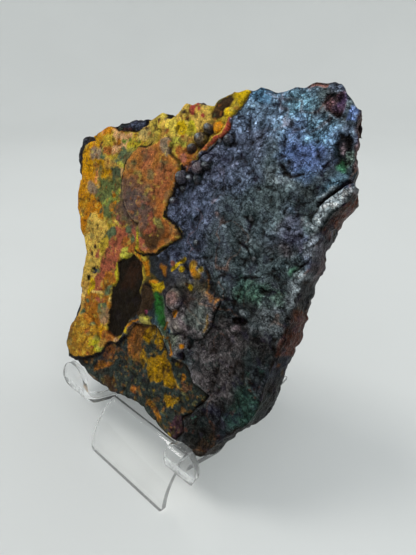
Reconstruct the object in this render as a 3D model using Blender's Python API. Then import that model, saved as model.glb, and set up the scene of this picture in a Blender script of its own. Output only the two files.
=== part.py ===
"""A turgite plate leaning on a clear display easel.

The stone is one solid, given by the outline of its face in a leaning plane and by the height of its relief
over that plane. The easel is one bent sheet, given by its cut pattern and by the path that the sheet follows
seen from the side. Metres, +Z up, with the object's front towards -Y.
"""

import math

import bmesh
import bpy
import numpy as np
from mathutils import Vector
from mathutils.geometry import delaunay_2d_cdt

MM = 0.001

# How the stone leans: its face plane starts over the shelf and is tipped back from the vertical.
LEAN = math.radians(26.0)
FACE_FOOT_Y = 14.3
FACE_FOOT_Z = 17.7
UP_SLOPE = np.array([0.0, math.sin(LEAN), math.cos(LEAN)])
OUTWARD = np.array([0.0, -math.cos(LEAN), math.sin(LEAN)])
FACE_FOOT = np.array([0.0, FACE_FOOT_Y, FACE_FOOT_Z])

# The stone, in millimetres: thickness at its left and right ends, and the most that it may reach back.
LEFT_EDGE = -76.0
RIGHT_EDGE = 38.0
LEFT_THICKNESS = 8.0
RIGHT_THICKNESS = 13.2
REACH_BACK = 13.6
RIM_UNDERCUT = 1.3
CORNER_UNDERCUT = 4.6
FOOT_SWELL = 1.7
FOOT_SWELL_REACH = 16.0
GAP = 0.3

# How finely the stone is first modelled, in millimetres, and about how many triangles it keeps.
STONE_SPACING = 1.3
STONE_TRIANGLES = 8400

# The easel's sheet, in millimetres.
SHEET = 2.0
PANEL_HALF = 19.05
PANEL_CORNER = 1.0
SHELF_HALF = 23.6
HOOK_INNER = 20.0
HOOK_OUTER = 32.4
BACKREST_TOP = 62.0
CREST_RADIUS = 3.0
CREST_TURN = math.radians(60.0)
CREST_SLOPE = 2.2
PANEL_RADIUS = 19.0
PANEL_HEADING = math.radians(256.7)
HOOK_FLAT = (2.5, 2.5, 1.4, 1.3)
HOOK_RADIUS = 8.0
HOOK_TURN = math.radians(76.0)
HOOK_LIP = 7.4
HOOK_TIP_LENGTH = 6.2
HOOK_FLARE_AT = (0.0, 5.0, 7.8, 10.5, 13.0, 15.0, 18.0)
HOOK_FLARE = (SHELF_HALF, SHELF_HALF, 24.6, 26.8, 29.4, 31.2, HOOK_OUTER)
THROAT_RADIUS = 4.0
TOP_RADIUS = 4.0
LEG_HALF = 18.4
LEG_HEADING = math.radians(-84.2)
FOOT_RADIUS = 4.0
REAR_FOOT = 8.0
SHELF_FLAT = 9.9
ARC_STEP = math.radians(11.0)

# The outline of the stone's face, anticlockwise from its lower left corner: millimetres to the right, and
# millimetres up the slope.
OUTLINE = [
    (-48.0, 0.8), (-43.0, 2.4), (-37.0, 1.6), (-32.5, 0.4), (-27.5, 0.3), (-21.5, 0.1), (-14.0, 1.8),
    (-8.5, 3.3), (-4.0, 3.5), (-1.0, 2.0), (3.0, 1.8), (5.0, 0.5), (10.0, 0.1), (15.0, 0.6), (19.5, 0.2),
    (22.5, 0.0), (24.5, 1.6), (26.5, 5.5), (28.8, 10.0), (32.0, 14.4), (34.6, 19.0), (36.4, 23.4),
    (37.4, 27.0), (36.6, 31.0), (36.9, 35.5), (37.2, 41.0), (37.9, 47.0), (37.8, 54.0), (37.0, 60.0),
    (37.6, 66.0), (38.0, 71.0), (37.2, 75.0), (38.0, 79.0), (37.4, 82.0), (39.4, 86.0), (42.0, 90.0),
    (43.2, 93.3), (41.6, 95.0), (41.0, 98.3), (39.6, 101.6), (38.6, 106.0), (37.3, 109.5), (37.0, 112.8),
    (34.4, 114.3), (32.2, 117.0), (29.8, 119.2), (25.2, 119.0), (21.2, 118.6), (18.6, 117.0), (15.0, 116.9),
    (13.6, 115.6), (10.0, 115.4), (4.8, 116.4), (2.4, 115.0), (0.4, 115.0), (-4.9, 114.4), (-7.8, 112.2),
    (-10.0, 110.4), (-10.8, 108.7), (-15.5, 109.1), (-17.6, 109.6), (-20.0, 108.2), (-22.6, 108.2),
    (-24.4, 106.0), (-27.0, 104.5), (-33.5, 104.3), (-36.4, 102.3), (-38.0, 100.8), (-41.0, 101.4),
    (-47.0, 100.0), (-53.5, 98.2), (-57.0, 96.0), (-62.0, 94.4), (-65.4, 92.8), (-68.8, 90.2),
    (-75.2, 89.8), (-76.0, 85.5), (-77.6, 81.6), (-75.6, 78.6), (-74.8, 75.4), (-71.2, 73.0), (-69.6, 67.0),
    (-67.4, 61.4), (-63.2, 57.6), (-61.4, 53.4), (-57.6, 50.2), (-55.2, 45.6), (-53.9, 38.0), (-52.6, 31.0),
    (-52.4, 26.0), (-53.4, 19.0), (-52.8, 11.5), (-50.6, 5.6),
]

# The thin yellow crust ends at a step over darker rock: these parts of the face lie below it.
SLATE_RIMS = [
    [(-82, 94), (-69, 91.5), (-66.5, 89), (-71, 87), (-72.6, 82), (-71.4, 78), (-70.6, 73), (-74, 70), (-82, 76)],
    [(-60, 102), (-57.5, 96), (-54, 94.6), (-48, 95.6), (-42, 96.6), (-39, 99.6), (-38.6, 104)],
    [(-34, 107), (-32.4, 104), (-30.2, 102), (-28, 102.6), (-25.4, 105), (-26, 107)],
    [(-58, 31), (-52, 31), (-50.6, 24), (-49.6, 20), (-51.6, 16), (-52, 11), (-58, 10)],
]
LOWER_BASE = [
    (-52, -4), (-48, 2.4), (-44, 4), (-39.5, 5.6), (-35.5, 8.6), (-32.6, 11.4), (-31.4, 15), (-29.5, 17.4),
    (-24.8, 18), (-22, 22.5), (-19.5, 29), (-15.5, 31), (-9, 32.4), (-4.5, 29), (0.5, 25.4), (8, 25.4),
    (12.5, 22), (19, 20.4), (18.6, 17.4), (16.4, 14.4), (15.4, 11.6), (12.8, 8.8), (15, 4.2), (13, -4),
]
FLAKE = [
    (-43.8, 83), (-43.6, 78.5), (-42, 73), (-39.5, 69.5), (-36, 66.5), (-33, 65), (-29, 65), (-27.6, 60),
    (-26, 55.8), (-22.2, 54.8), (-17.2, 56.6), (-15.6, 59.2), (-12.4, 62), (-9.2, 64.8), (-12.4, 68.6),
    (-17, 69.2), (-19, 74.6), (-18.2, 80.6), (-17.6, 84), (-18.6, 88), (-22, 89.8), (-24.2, 91),
    (-24.2, 95.2), (-27.6, 96), (-30, 94.2), (-34.8, 90.6), (-39, 90.8), (-41.8, 87.2),
]
BROWN_PATCH = [
    (-30, 53), (-26, 52), (-23.2, 49.5), (-21, 45.5), (-21.2, 41), (-18.8, 38), (-19, 34), (-21, 31),
    (-22.8, 27), (-24.2, 22), (-27.5, 19.5), (-31.5, 20.2), (-32.6, 26), (-33.6, 31), (-35.2, 37), (-33, 41),
    (-34, 45), (-36, 47.5), (-33.4, 50),
]
LOBE = [
    (-9, 53), (-4, 54.6), (3, 53.6), (8, 52.4), (12.4, 50.6), (13.2, 47), (12, 42), (11.6, 37), (7.4, 35.2),
    (6.6, 31), (4.6, 26.6), (1, 25.4), (-1.2, 29.4), (-3.6, 33), (-6, 38), (-9.6, 43), (-11, 48),
]
EDGE_HOLLOW = [(33.6, 106.4), (37.6, 106), (39.6, 101), (38.8, 97.8), (35.8, 98), (34.2, 100.8), (33.1, 103)]
BRONZE_FACET = [(26, 116.4), (31, 117), (32.4, 113.6), (31.4, 110.4), (28, 112), (25.8, 114)]

# Raised and sunken parts of the face: outline, height, and how wide its sloping edge is.
STEPS = [(rim, -1.6, 0.5) for rim in SLATE_RIMS] + [
    (LOWER_BASE, -0.9, 0.6),
    (FLAKE, 1.1, 0.35),
    (BROWN_PATCH, -0.7, 0.35),
    (LOBE, 1.2, 1.2),
    (EDGE_HOLLOW, -1.9, 0.7),
    (BRONZE_FACET, -0.5, 0.4),
]

# Rounded lumps on the face: right, up the slope, radius across, radius along, height.
LUMPS = [
    (-10.6, 101.8, 1.9, 1.9, 1.6), (-12.4, 97.9, 2.6, 2.3, 2.0), (-15.9, 94.6, 1.6, 1.5, 0.9),
    (-1.3, 99.6, 1.6, 1.5, 1.4), (-15.5, 84.4, 2.4, 2.3, 2.0), (-9.8, 88.6, 2.2, 2.3, 1.7),
    (-9.0, 85.4, 1.6, 1.4, 1.6), (-6.8, 89.9, 1.4, 1.3, 1.2), (-12.0, 85.0, 1.3, 1.3, 0.9),
    (-14.1, 81.0, 1.2, 0.9, 0.7), (-16.8, 76.2, 1.3, 1.0, 0.7), (-6.8, 102.6, 2.4, 2.0, 0.9),
    (-4.2, 44.6, 3.3, 3.9, 2.1), (-4.0, 51.4, 2.6, 2.4, 0.8), (0.8, 38.2, 3.0, 3.2, 1.3),
    (3.0, 30.8, 2.4, 3.6, 1.6), (0.4, 56.4, 2.6, 2.2, 0.9), (-6.6, 55.6, 1.8, 1.4, 0.8),
    (-15.0, 46.6, 2.4, 1.3, 0.7), (-15.2, 32.2, 2.4, 1.5, 0.8), (-4.6, 107.8, 1.9, 1.4, 0.8),
    (-45.0, 13.0, 9.5, 9.5, 1.8), (-36.5, 12.6, 3.6, 3.6, 0.9), (-18.6, 107.4, 2.4, 1.8, 0.5),
    (-66.0, 84.0, 7.0, 5.0, 0.8), (-31.0, 101.0, 4.0, 2.6, 0.5), (22.8, 50.6, 2.0, 1.2, 0.9),
    (21.4, 44.6, 2.0, 1.2, 0.9), (12.6, 61.8, 3.4, 2.2, 0.5), (28.0, 62.0, 3.0, 2.4, 0.6),
    (37.0, 67.4, 1.9, 2.4, 0.9), (36.8, 76.6, 1.6, 1.8, 0.8), (36.6, 64.0, 2.2, 1.6, 0.7),
]

# Pits and grooves: right, up the slope, radius across, radius along, turn in degrees, depth.
PITS = [
    (22.0, 47.6, 2.9, 1.2, 22.0, 2.4), (24.6, 101.4, 8.4, 7.6, 0.0, 1.3), (18.4, 97.8, 1.2, 0.6, 10.0, 0.7),
    (14.6, 86.8, 1.6, 0.7, 0.0, 0.7), (19.0, 88.2, 2.2, 0.9, 10.0, 0.6), (15.6, 77.4, 1.0, 0.8, 0.0, 0.7),
    (15.4, 52.0, 1.7, 1.0, 0.0, 1.2), (18.8, 52.2, 1.7, 1.0, 10.0, 1.0), (21.4, 61.2, 3.0, 0.9, 20.0, 1.1),
    (28.4, 59.2, 3.2, 1.3, 5.0, 1.2), (25.0, 74.8, 3.2, 0.9, 8.0, 0.8), (5.4, 57.4, 2.4, 1.1, -40.0, 1.3),
    (6.8, 33.0, 1.1, 2.6, 12.0, 1.8), (5.2, 27.6, 1.6, 1.6, 0.0, 1.4), (-47.2, 39.8, 1.5, 1.2, 20.0, 0.9),
    (-49.6, 36.2, 1.1, 1.2, 0.0, 0.8), (36.0, 83.0, 0.9, 2.0, -20.0, 0.9),
]

# Narrow ridges and cracks: the points along one, its half width, and its height or depth.
RIDGES = [
    ([(42.4, 93.0), (39.6, 90.2), (36.8, 86.8), (36.4, 83.6)], 2.0, 1.6),
    ([(-3.0, 105.4), (-3.4, 101.4), (-7.0, 98.6), (-9.6, 95.4), (-11.6, 92.2)], 0.8, 1.0),
    ([(10.5, 99.0), (13.5, 93.4), (18.0, 90.6), (24.5, 90.6), (30.0, 94.0)], 2.2, 0.7),
]
CRACKS = [
    ([(39.9, 94.4), (37.4, 91.0), (34.6, 87.6)], 0.6, 1.4),
    ([(1.0, 114.6), (-0.4, 111.0), (-3.0, 106.8), (-2.0, 102.4)], 0.6, 1.1),
    ([(-5.0, 97.8), (-8.0, 94.6), (-11.0, 91.2)], 0.5, 0.9),
    ([(19.0, 20.2), (18.4, 17.4), (15.9, 14.2), (15.2, 11.4), (12.6, 8.8), (15.2, 4.2), (13.4, 1.0)], 0.6, 1.2),
    ([(18.6, 95.2), (21.0, 93.4), (23.6, 92.9), (27.2, 94.4)], 0.7, 1.2),
    ([(13.6, 50.6), (12.9, 46.4), (13.0, 42.0), (11.4, 37.2)], 0.5, 0.9),
    ([(37.0, 71.6), (35.4, 69.8), (33.8, 68.0)], 0.6, 1.0),
    ([(14.0, 70.6), (17.0, 69.6), (19.0, 67.2)], 0.8, 0.7),
]


def lattice_noise(points, size, seed):
    """Smooth noise from -1 to 1 at points in millimetres, with features about size millimetres across."""
    grid = np.asarray(points, float) / size
    low = np.floor(grid).astype(np.int64)
    part = grid - low
    ease = part * part * (3.0 - 2.0 * part)
    total = np.zeros(len(grid))
    for corner in range(8):
        offset = np.array([corner & 1, (corner >> 1) & 1, (corner >> 2) & 1])
        cell = low + offset
        mix = cell[:, 0] * 374761393 + cell[:, 1] * 668265263 + cell[:, 2] * 2147483647 + seed * 974634777
        mix = (mix ^ (mix >> 13)) * 1274126177
        value = ((mix ^ (mix >> 16)) & 0xFFFF) / 32767.5 - 1.0
        weight = np.prod(np.where(offset == 1, ease, 1.0 - ease), axis=1)
        total += value * weight
    return total


def layered_noise(points, size, seed, layers=3):
    """Noise made of layers, each with half the size and half the strength of the one before."""
    total = np.zeros(len(points))
    for layer in range(layers):
        total += lattice_noise(points, size / 2.0 ** layer, seed + layer) / 2.0 ** layer
    return total / (2.0 - 0.5 ** (layers - 1))


def edge_distance(points, polygon):
    """Distance of each point to a closed outline, positive inside it."""
    corners = np.asarray(polygon, float)
    following = np.roll(corners, -1, axis=0)
    nearest = np.full(len(points), 1.0e9)
    inside = np.zeros(len(points), bool)
    for start, end in zip(corners, following):
        nearest = np.minimum(nearest, segment_distance(points, start, end))
        crosses = (start[1] > points[:, 1]) != (end[1] > points[:, 1])
        rise = end[1] - start[1] if end[1] != start[1] else 1.0
        at = start[0] + (points[:, 1] - start[1]) * (end[0] - start[0]) / rise
        inside ^= crosses & (points[:, 0] < at)
    return np.where(inside, nearest, -nearest)


def segment_distance(points, start, end):
    """Distance of each point to one straight segment."""
    run = np.asarray(end, float) - np.asarray(start, float)
    reach = points - np.asarray(start, float)
    along = np.clip(reach @ run / (run @ run), 0.0, 1.0)
    return np.hypot(*(reach - np.outer(along, run)).T)


def path_distance(points, path):
    """Distance of each point to an open line of points."""
    nearest = np.full(len(points), 1.0e9)
    for start, end in zip(path, path[1:]):
        nearest = np.minimum(nearest, segment_distance(points, start, end))
    return nearest


def ease_step(value):
    """A smooth step from 0 to 1 as value goes from 0 to 1."""
    held = np.clip(value, 0.0, 1.0)
    return held * held * (3.0 - 2.0 * held)


def dome(points, across, along, half_width, half_length, turn=0.0):
    """The height of a unit dome over an ellipse."""
    right = points[:, 0] - across
    up = points[:, 1] - along
    turned = math.radians(turn)
    x = (right * math.cos(turned) + up * math.sin(turned)) / half_width
    y = (up * math.cos(turned) - right * math.sin(turned)) / half_length
    return np.sqrt(np.clip(1.0 - x * x - y * y, 0.0, 1.0))


def face_height(points):
    """How far the relief of the face stands out from its plane, in millimetres."""
    flat = np.column_stack([points, np.zeros(len(points))])
    wander = np.column_stack([lattice_noise(flat, 3.4, 11), lattice_noise(flat, 3.4, 12)]) * 0.5
    ragged = points + wander
    height = 1.3 * layered_noise(flat, 24.0, 1) + 0.55 * layered_noise(flat, 7.0, 5)
    height -= 0.35 * np.abs(layered_noise(flat, 5.0, 8, 2))
    height += FOOT_SWELL * ease_step(1.0 - points[:, 1] / FOOT_SWELL_REACH)
    for polygon, level, slope in STEPS:
        height += level * ease_step(edge_distance(ragged, polygon) / slope + 0.5)
    for across, along, half_width, half_length, level in LUMPS:
        height += level * dome(points, across, along, half_width, half_length)
    for across, along, half_width, half_length, turn, level in PITS:
        height -= level * dome(ragged, across, along, half_width, half_length, turn)
    for path, half_width, level in RIDGES:
        height += level * np.sqrt(np.clip(1.0 - (path_distance(points, path) / half_width) ** 2, 0.0, 1.0))
    for path, half_width, level in CRACKS:
        height -= level * np.clip(1.0 - path_distance(ragged, path) / half_width, 0.0, 1.0)
    return height


def back_depth(points):
    """How far the broken back lies behind the face's plane, in millimetres."""
    flat = np.column_stack([points, np.full(len(points), 40.0)])
    share = (points[:, 0] - LEFT_EDGE) / (RIGHT_EDGE - LEFT_EDGE)
    depth = LEFT_THICKNESS + (RIGHT_THICKNESS - LEFT_THICKNESS) * share
    depth += 1.5 * layered_noise(flat, 30.0, 21) + 0.8 * layered_noise(flat, 8.0, 25)
    ledge = lattice_noise(flat, 16.0, 29)
    depth += 0.9 * ease_step((ledge - 0.1) / 0.12)
    return np.minimum(depth, REACH_BACK)


def undercut(points):
    """How far the rim leans in towards the back, in millimetres: most at the upper right corner."""
    corner = ease_step((points[:, 1] - 85.0) / 12.0) * ease_step((points[:, 0] - 22.0) / 10.0)
    return RIM_UNDERCUT + CORNER_UNDERCUT * corner


def rough_outline(spacing):
    """The face's outline as evenly spaced points, roughened between the given corners."""
    corners = np.asarray(OUTLINE, float)
    closed = np.vstack([corners, corners[:1]])
    lengths = np.hypot(*np.diff(closed, axis=0).T)
    travelled = np.concatenate([[0.0], np.cumsum(lengths)])
    count = int(round(travelled[-1] / spacing))
    at = np.linspace(0.0, travelled[-1], count, endpoint=False)
    line = np.column_stack([np.interp(at, travelled, closed[:, axis]) for axis in (0, 1)])
    flat = np.column_stack([line, np.full(len(line), 7.0)])
    shift = np.column_stack([layered_noise(flat, 3.0, 31, 2), layered_noise(flat, 3.0, 35, 2)]) * 0.55
    line = line + shift
    line[:, 1] = np.maximum(line[:, 1], 0.0)
    return line


def face_triangles(outline, spacing):
    """Points and triangles that fill the outline, on an even triangular grid."""
    low = outline.min(axis=0)
    high = outline.max(axis=0)
    row_height = spacing * math.sqrt(3.0) / 2.0
    inner = []
    for row in range(int((high[1] - low[1]) / row_height) + 1):
        shift = 0.5 * spacing if row % 2 else 0.0
        across = np.arange(low[0] + shift, high[0], spacing)
        inner.append(np.column_stack([across, np.full(len(across), low[1] + row * row_height)]))
    inner = np.vstack(inner)
    inner = inner[edge_distance(inner, outline) > 0.6 * spacing]
    count = len(outline)
    rim = [(index, (index + 1) % count) for index in range(count)]
    seeds = [Vector(point) for point in np.vstack([outline, inner])]
    points, _, faces, origins, _, _ = delaunay_2d_cdt(seeds, rim, [list(range(count))], 1, 1.0e-6)
    places = {origin: index for index, sources in enumerate(origins) for origin in sources}
    rim_places = [places[index] for index in range(count)]
    return np.array([(point.x, point.y) for point in points]), faces, rim_places


def lean(points, height):
    """World places, in millimetres, of points of the face at a height over its plane."""
    right = np.outer(points[:, 0], [1.0, 0.0, 0.0])
    return FACE_FOOT + right + np.outer(points[:, 1], UP_SLOPE) + np.outer(height, OUTWARD)


def outward_of(outline):
    """The unit direction that points out of the outline at each of its points."""
    run = np.roll(outline, -1, axis=0) - np.roll(outline, 1, axis=0)
    normal = np.column_stack([run[:, 1], -run[:, 0]])
    return normal / np.hypot(*normal.T)[:, None]


def stone_mesh(spacing):
    """The stone's closed surface: relief face, broken rim in rough layers, and back."""
    outline = rough_outline(spacing)
    points, faces, rim = face_triangles(outline, spacing)
    rim_points = points[rim]
    normal = outward_of(rim_points)
    front = face_height(points)
    back = back_depth(points)
    layers = []
    rim_front = front[rim]
    rim_back = back[rim]
    for share in (0.18, 0.45, 0.72):
        height = rim_front + (-rim_back - rim_front) * share
        place = np.column_stack([rim_points, height * 3.0])
        push = 0.9 * layered_noise(place, 6.0, 41) + 0.5 * lattice_noise(place, 14.0, 45)
        push += 0.9 * math.sin(math.pi * share) - 0.4 - (undercut(rim_points) - RIM_UNDERCUT) * share
        moved = rim_points + normal * push[:, None]
        moved[:, 1] = np.maximum(moved[:, 1], 0.0)
        layers.append(lean(moved, height))
    drawn_in = points.copy()
    reach = edge_distance(points, outline)
    tuck = undercut(points) * ease_step(1.0 - reach / 9.0)
    centre = outline.mean(axis=0)
    pull = centre - points
    drawn_in += pull / np.hypot(*pull.T)[:, None] * tuck[:, None]
    drawn_in[:, 1] = np.maximum(drawn_in[:, 1], 0.0)
    rounding = 1.8 * ease_step(1.0 - reach / 3.0)
    vertices = [lean(points, front)] + layers + [lean(drawn_in, rounding - back)]
    count = len(points)
    ring = len(rim)
    back_start = count + 3 * ring
    triangles = [tuple(back_start + index for index in reversed(face)) for face in faces]
    loops = [list(rim)]
    for layer in range(3):
        loops.append([count + layer * ring + index for index in range(ring)])
    loops.append([back_start + index for index in rim])
    for upper, lower in zip(loops, loops[1:]):
        for index in range(ring):
            following = (index + 1) % ring
            triangles.append((upper[following], upper[index], lower[index], lower[following]))
    triangles += [tuple(face) for face in faces]
    return np.vstack(vertices), triangles


def principled(name, colour, roughness, metallic=0.0, transmission=0.0):
    """A plain material for one node."""
    material = bpy.data.materials.new(name)
    material.use_nodes = True
    shader = material.node_tree.nodes["Principled BSDF"]
    shader.inputs["Base Color"].default_value = (*colour, 1.0)
    shader.inputs["Roughness"].default_value = roughness
    shader.inputs["Metallic"].default_value = metallic
    shader.inputs["Transmission Weight"].default_value = transmission
    return material


def add_object(name, vertices, faces, material):
    """One named object from millimetre vertices and its faces."""
    mesh = bpy.data.meshes.new(name)
    mesh.from_pydata([tuple(vertex) for vertex in np.asarray(vertices) * MM], [], faces)
    mesh.materials.append(material)
    thing = bpy.data.objects.new(name, mesh)
    bpy.context.collection.objects.link(thing)
    return thing


def make_stone():
    """The turgite plate, thinned to the faces that its shape needs."""
    vertices, faces = stone_mesh(STONE_SPACING)
    material = principled("turgite", (0.10, 0.10, 0.13), 0.42, 0.35)
    stone = add_object("turgite", vertices, faces, material)
    form = bmesh.new()
    form.from_mesh(stone.data)
    bmesh.ops.triangulate(form, faces=form.faces[:])
    bmesh.ops.recalc_face_normals(form, faces=form.faces[:])
    share = STONE_TRIANGLES / len(form.faces)
    form.to_mesh(stone.data)
    form.free()
    thin = stone.modifiers.new("Thin", "DECIMATE")
    thin.ratio = share
    return stone


def follow(start, heading, moves):
    """The rows of a bent sheet seen from the side: a list of (middle point, heading, distance travelled)."""
    rows = [(start, heading, 0.0)]
    travelled = 0.0
    for kind, amount, radius in moves:
        point, heading, _ = rows[-1]
        if kind == "line":
            travelled += amount
            step = Vector((math.cos(heading), math.sin(heading))) * amount
            rows.append((point + step, heading, travelled))
            continue
        steps = max(2, math.ceil(abs(amount) / ARC_STEP))
        side = math.copysign(1.0, amount)
        centre = point + Vector((-math.sin(heading), math.cos(heading))) * radius * side
        for index in range(1, steps + 1):
            angle = heading + amount * index / steps
            place = centre + Vector((math.sin(angle), -math.cos(angle))) * radius * side
            rows.append((place, angle, travelled + radius * abs(amount) * index / steps))
        travelled += radius * abs(amount)
    return rows


class SheetBuilder:
    """Collects the two skins and the cut edges of one bent sheet."""

    def __init__(self):
        self.vertices = []
        self.faces = []

    def row(self, place, heading, across, upper_side, level_at=None):
        """A row of vertex pairs, (upper, lower), at each distance across the sheet."""
        normal = Vector((-math.sin(heading), math.cos(heading))) * upper_side
        along = Vector((math.cos(heading), math.sin(heading)))
        pairs = []
        for x in across:
            pair = []
            for side in (0.5, -0.5):
                point = place + normal * SHEET * side
                if level_at is not None:
                    point = point + along * ((level_at - point.y) / along.y)
                pair.append(len(self.vertices))
                self.vertices.append((x, point.x, point.y))
            pairs.append(tuple(pair))
        return pairs

    def skins(self, boundary):
        """The upper and lower face over a closed run of vertex pairs."""
        self.faces.append([pair[0] for pair in boundary])
        self.faces.append([pair[1] for pair in reversed(boundary)])

    def edge(self, first, second):
        """The cut edge between two neighbouring pairs."""
        self.faces.append([first[0], first[1], second[1], second[0]])

    def strip(self, rows):
        """Skins and side edges along rows of two pairs each."""
        for lower, upper in zip(rows, rows[1:]):
            self.skins([lower[0], lower[1], upper[1], upper[0]])
            self.edge(lower[1], upper[1])
            self.edge(upper[0], lower[0])

    def end(self, row):
        """The cut edge across the last row of a strip."""
        self.edge(row[1], row[0])


def shelf_point(out):
    """A point of the shelf's upper surface, seen from the side, by its distance out from the face plane."""
    base = FACE_FOOT - UP_SLOPE * GAP + OUTWARD * out
    return Vector((base[1], base[2]))


def hook_sides(travelled, tip_run):
    """The inner and outer side of a hook, by the distance along it and the run into its rounded tip."""
    outer = float(np.interp(travelled, HOOK_FLARE_AT, HOOK_FLARE))
    middle = 0.5 * (HOOK_INNER + outer)
    half = 0.5 * (outer - HOOK_INNER) * math.sqrt(1.0 - (tip_run / HOOK_TIP_LENGTH) ** 2)
    return middle - half, middle + half


def make_easel():
    """The clear easel, one sheet: front panel, two hooks, shelf, backrest, rear leg and foot."""
    up_heading = math.atan2(UP_SLOPE[2], UP_SLOPE[1])
    forward = math.atan2(OUTWARD[2], OUTWARD[1])
    backward = forward - math.pi
    throat_out = -(REACH_BACK + GAP)
    slot_out = throat_out + THROAT_RADIUS - 0.5 * SHEET + SHELF_FLAT
    normal = Vector((UP_SLOPE[1], UP_SLOPE[2]))
    slot = shelf_point(slot_out) - normal * 0.5 * SHEET
    sheet = SheetBuilder()

    columns = (-SHELF_HALF, -HOOK_INNER, -PANEL_HALF, PANEL_HALF, HOOK_INNER, SHELF_HALF)
    slot_row = sheet.row(slot, backward, columns, 1.0)
    for gap in (1, 3):
        sheet.edge(slot_row[gap + 1], slot_row[gap])

    panel_turn = PANEL_HEADING - forward - CREST_TURN
    panel_moves = [
        ("arc", CREST_TURN, CREST_RADIUS),
        ("line", CREST_SLOPE, 0.0),
        ("arc", panel_turn, PANEL_RADIUS),
    ]
    panel_path = follow(slot, forward, panel_moves)
    last_place, last_heading, _ = panel_path[-1]
    left_to_table = -last_place.y / math.sin(last_heading)
    panel_path += follow(last_place, last_heading, [("line", left_to_table - PANEL_CORNER, 0.0)])[1:]
    rows = [slot_row[2:4]]
    for place, heading, _ in panel_path[1:]:
        rows.append(sheet.row(place, heading, (-PANEL_HALF, PANEL_HALF), -1.0))
    foot = panel_path[-1][0]
    narrow = PANEL_HALF - PANEL_CORNER
    rows.append(sheet.row(foot, last_heading, (-narrow, narrow), -1.0, 0.0))
    sheet.strip([list(reversed(row)) for row in rows])
    sheet.end(list(reversed(rows[-1])))

    hook_moves = [("line", run, 0.0) for run in HOOK_FLAT]
    hook_moves += [("arc", -HOOK_TURN, HOOK_RADIUS), ("line", HOOK_LIP - HOOK_TIP_LENGTH, 0.0)]
    hook_path = follow(slot, forward, hook_moves)
    tip_place, tip_heading, tip_at = hook_path[-1]
    along = Vector((math.cos(tip_heading), math.sin(tip_heading)))
    stations = [(place, heading, travelled, 0.0) for place, heading, travelled in hook_path[1:]]
    for angle in (20.0, 40.0, 58.0, 72.0):
        run = HOOK_TIP_LENGTH * math.sin(math.radians(angle))
        stations.append((tip_place + along * run, tip_heading, tip_at, run))
    for side, first in ((-1.0, 0), (1.0, 4)):
        rows = [slot_row[first:first + 2]]
        for place, heading, travelled, run in stations:
            across = sorted(side * x for x in hook_sides(travelled, run))
            rows.append(sheet.row(place, heading, across, -1.0))
        sheet.strip([list(reversed(row)) for row in rows])
        sheet.end(list(reversed(rows[-1])))

    rest_length = BACKREST_TOP - THROAT_RADIUS
    back_moves = [
        ("line", SHELF_FLAT, 0.0),
        ("arc", math.pi / 2.0, THROAT_RADIUS),
        ("line", rest_length, 0.0),
        ("arc", LEG_HEADING - up_heading, TOP_RADIUS),
    ]
    top_place = follow(slot, backward, back_moves)[-1][0]
    foot_turn = -LEG_HEADING
    foot_drop = FOOT_RADIUS * (1.0 - math.cos(foot_turn))
    leg_length = (top_place.y - 0.5 * SHEET - foot_drop) / -math.sin(LEG_HEADING)
    back_moves += [("line", leg_length, 0.0), ("arc", foot_turn, FOOT_RADIUS), ("line", REAR_FOOT, 0.0)]
    low_end = SHELF_FLAT + 0.5 * math.pi * THROAT_RADIUS
    rows = []
    for place, heading, travelled in follow(slot, backward, back_moves)[1:]:
        share = min(1.0, max(0.0, (travelled - low_end) / rest_length))
        half = SHELF_HALF + (LEG_HALF - SHELF_HALF) * share
        rows.append(sheet.row(place, heading, (-half, half), 1.0))
    first = rows[0]
    sheet.skins(list(slot_row) + [first[1], first[0]])
    sheet.edge(slot_row[-1], first[1])
    sheet.edge(first[0], slot_row[0])
    sheet.strip(rows)
    sheet.end(rows[-1])

    material = principled("clear_acrylic", (0.95, 0.97, 0.97), 0.05, 0.0, 1.0)
    easel = add_object("display_easel", sheet.vertices, [tuple(face) for face in sheet.faces], material)
    form = bmesh.new()
    form.from_mesh(easel.data)
    bmesh.ops.recalc_face_normals(form, faces=form.faces[:])
    form.to_mesh(easel.data)
    form.free()
    easel.data.shade_smooth()
    easel.data.set_sharp_from_angle(angle=math.radians(30.0))
    return easel


def clear_scene():
    """Remove what the opened file holds."""
    for thing in list(bpy.data.objects):
        bpy.data.objects.remove(thing, do_unlink=True)


def centre(things):
    """Shift the meshes so that the origin is below the middle of the whole, at its lowest level."""
    graph = bpy.context.evaluated_depsgraph_get()
    corners = []
    for thing in things:
        shape = thing.evaluated_get(graph).to_mesh()
        corners += [vertex.co.copy() for vertex in shape.vertices]
    low = [min(corner[axis] for corner in corners) for axis in range(3)]
    high = [max(corner[axis] for corner in corners) for axis in range(3)]
    shift = Vector((-(low[0] + high[0]) / 2.0, -(low[1] + high[1]) / 2.0, -low[2]))
    for thing in things:
        for vertex in thing.data.vertices:
            vertex.co += shift


def main():
    """Build the object."""
    clear_scene()
    stone = make_stone()
    easel = make_easel()
    centre([stone, easel])


main()
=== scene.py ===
"""A turgite plate that leans on a clear display easel, dressed for rendering.

The stone's face is drawn in its own leaning plane: millimetres to the right, and millimetres up the slope.
The easel is one bent clear sheet, drawn from the side. All of it ends in metres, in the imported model's frame.
"""

from __future__ import annotations

import logging
import math
from dataclasses import dataclass, field
from enum import Enum
from typing import Any, Iterable, Sequence

import bpy
import numpy as np
from mathutils import Matrix, Vector
from mathutils.geometry import delaunay_2d_cdt


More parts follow.
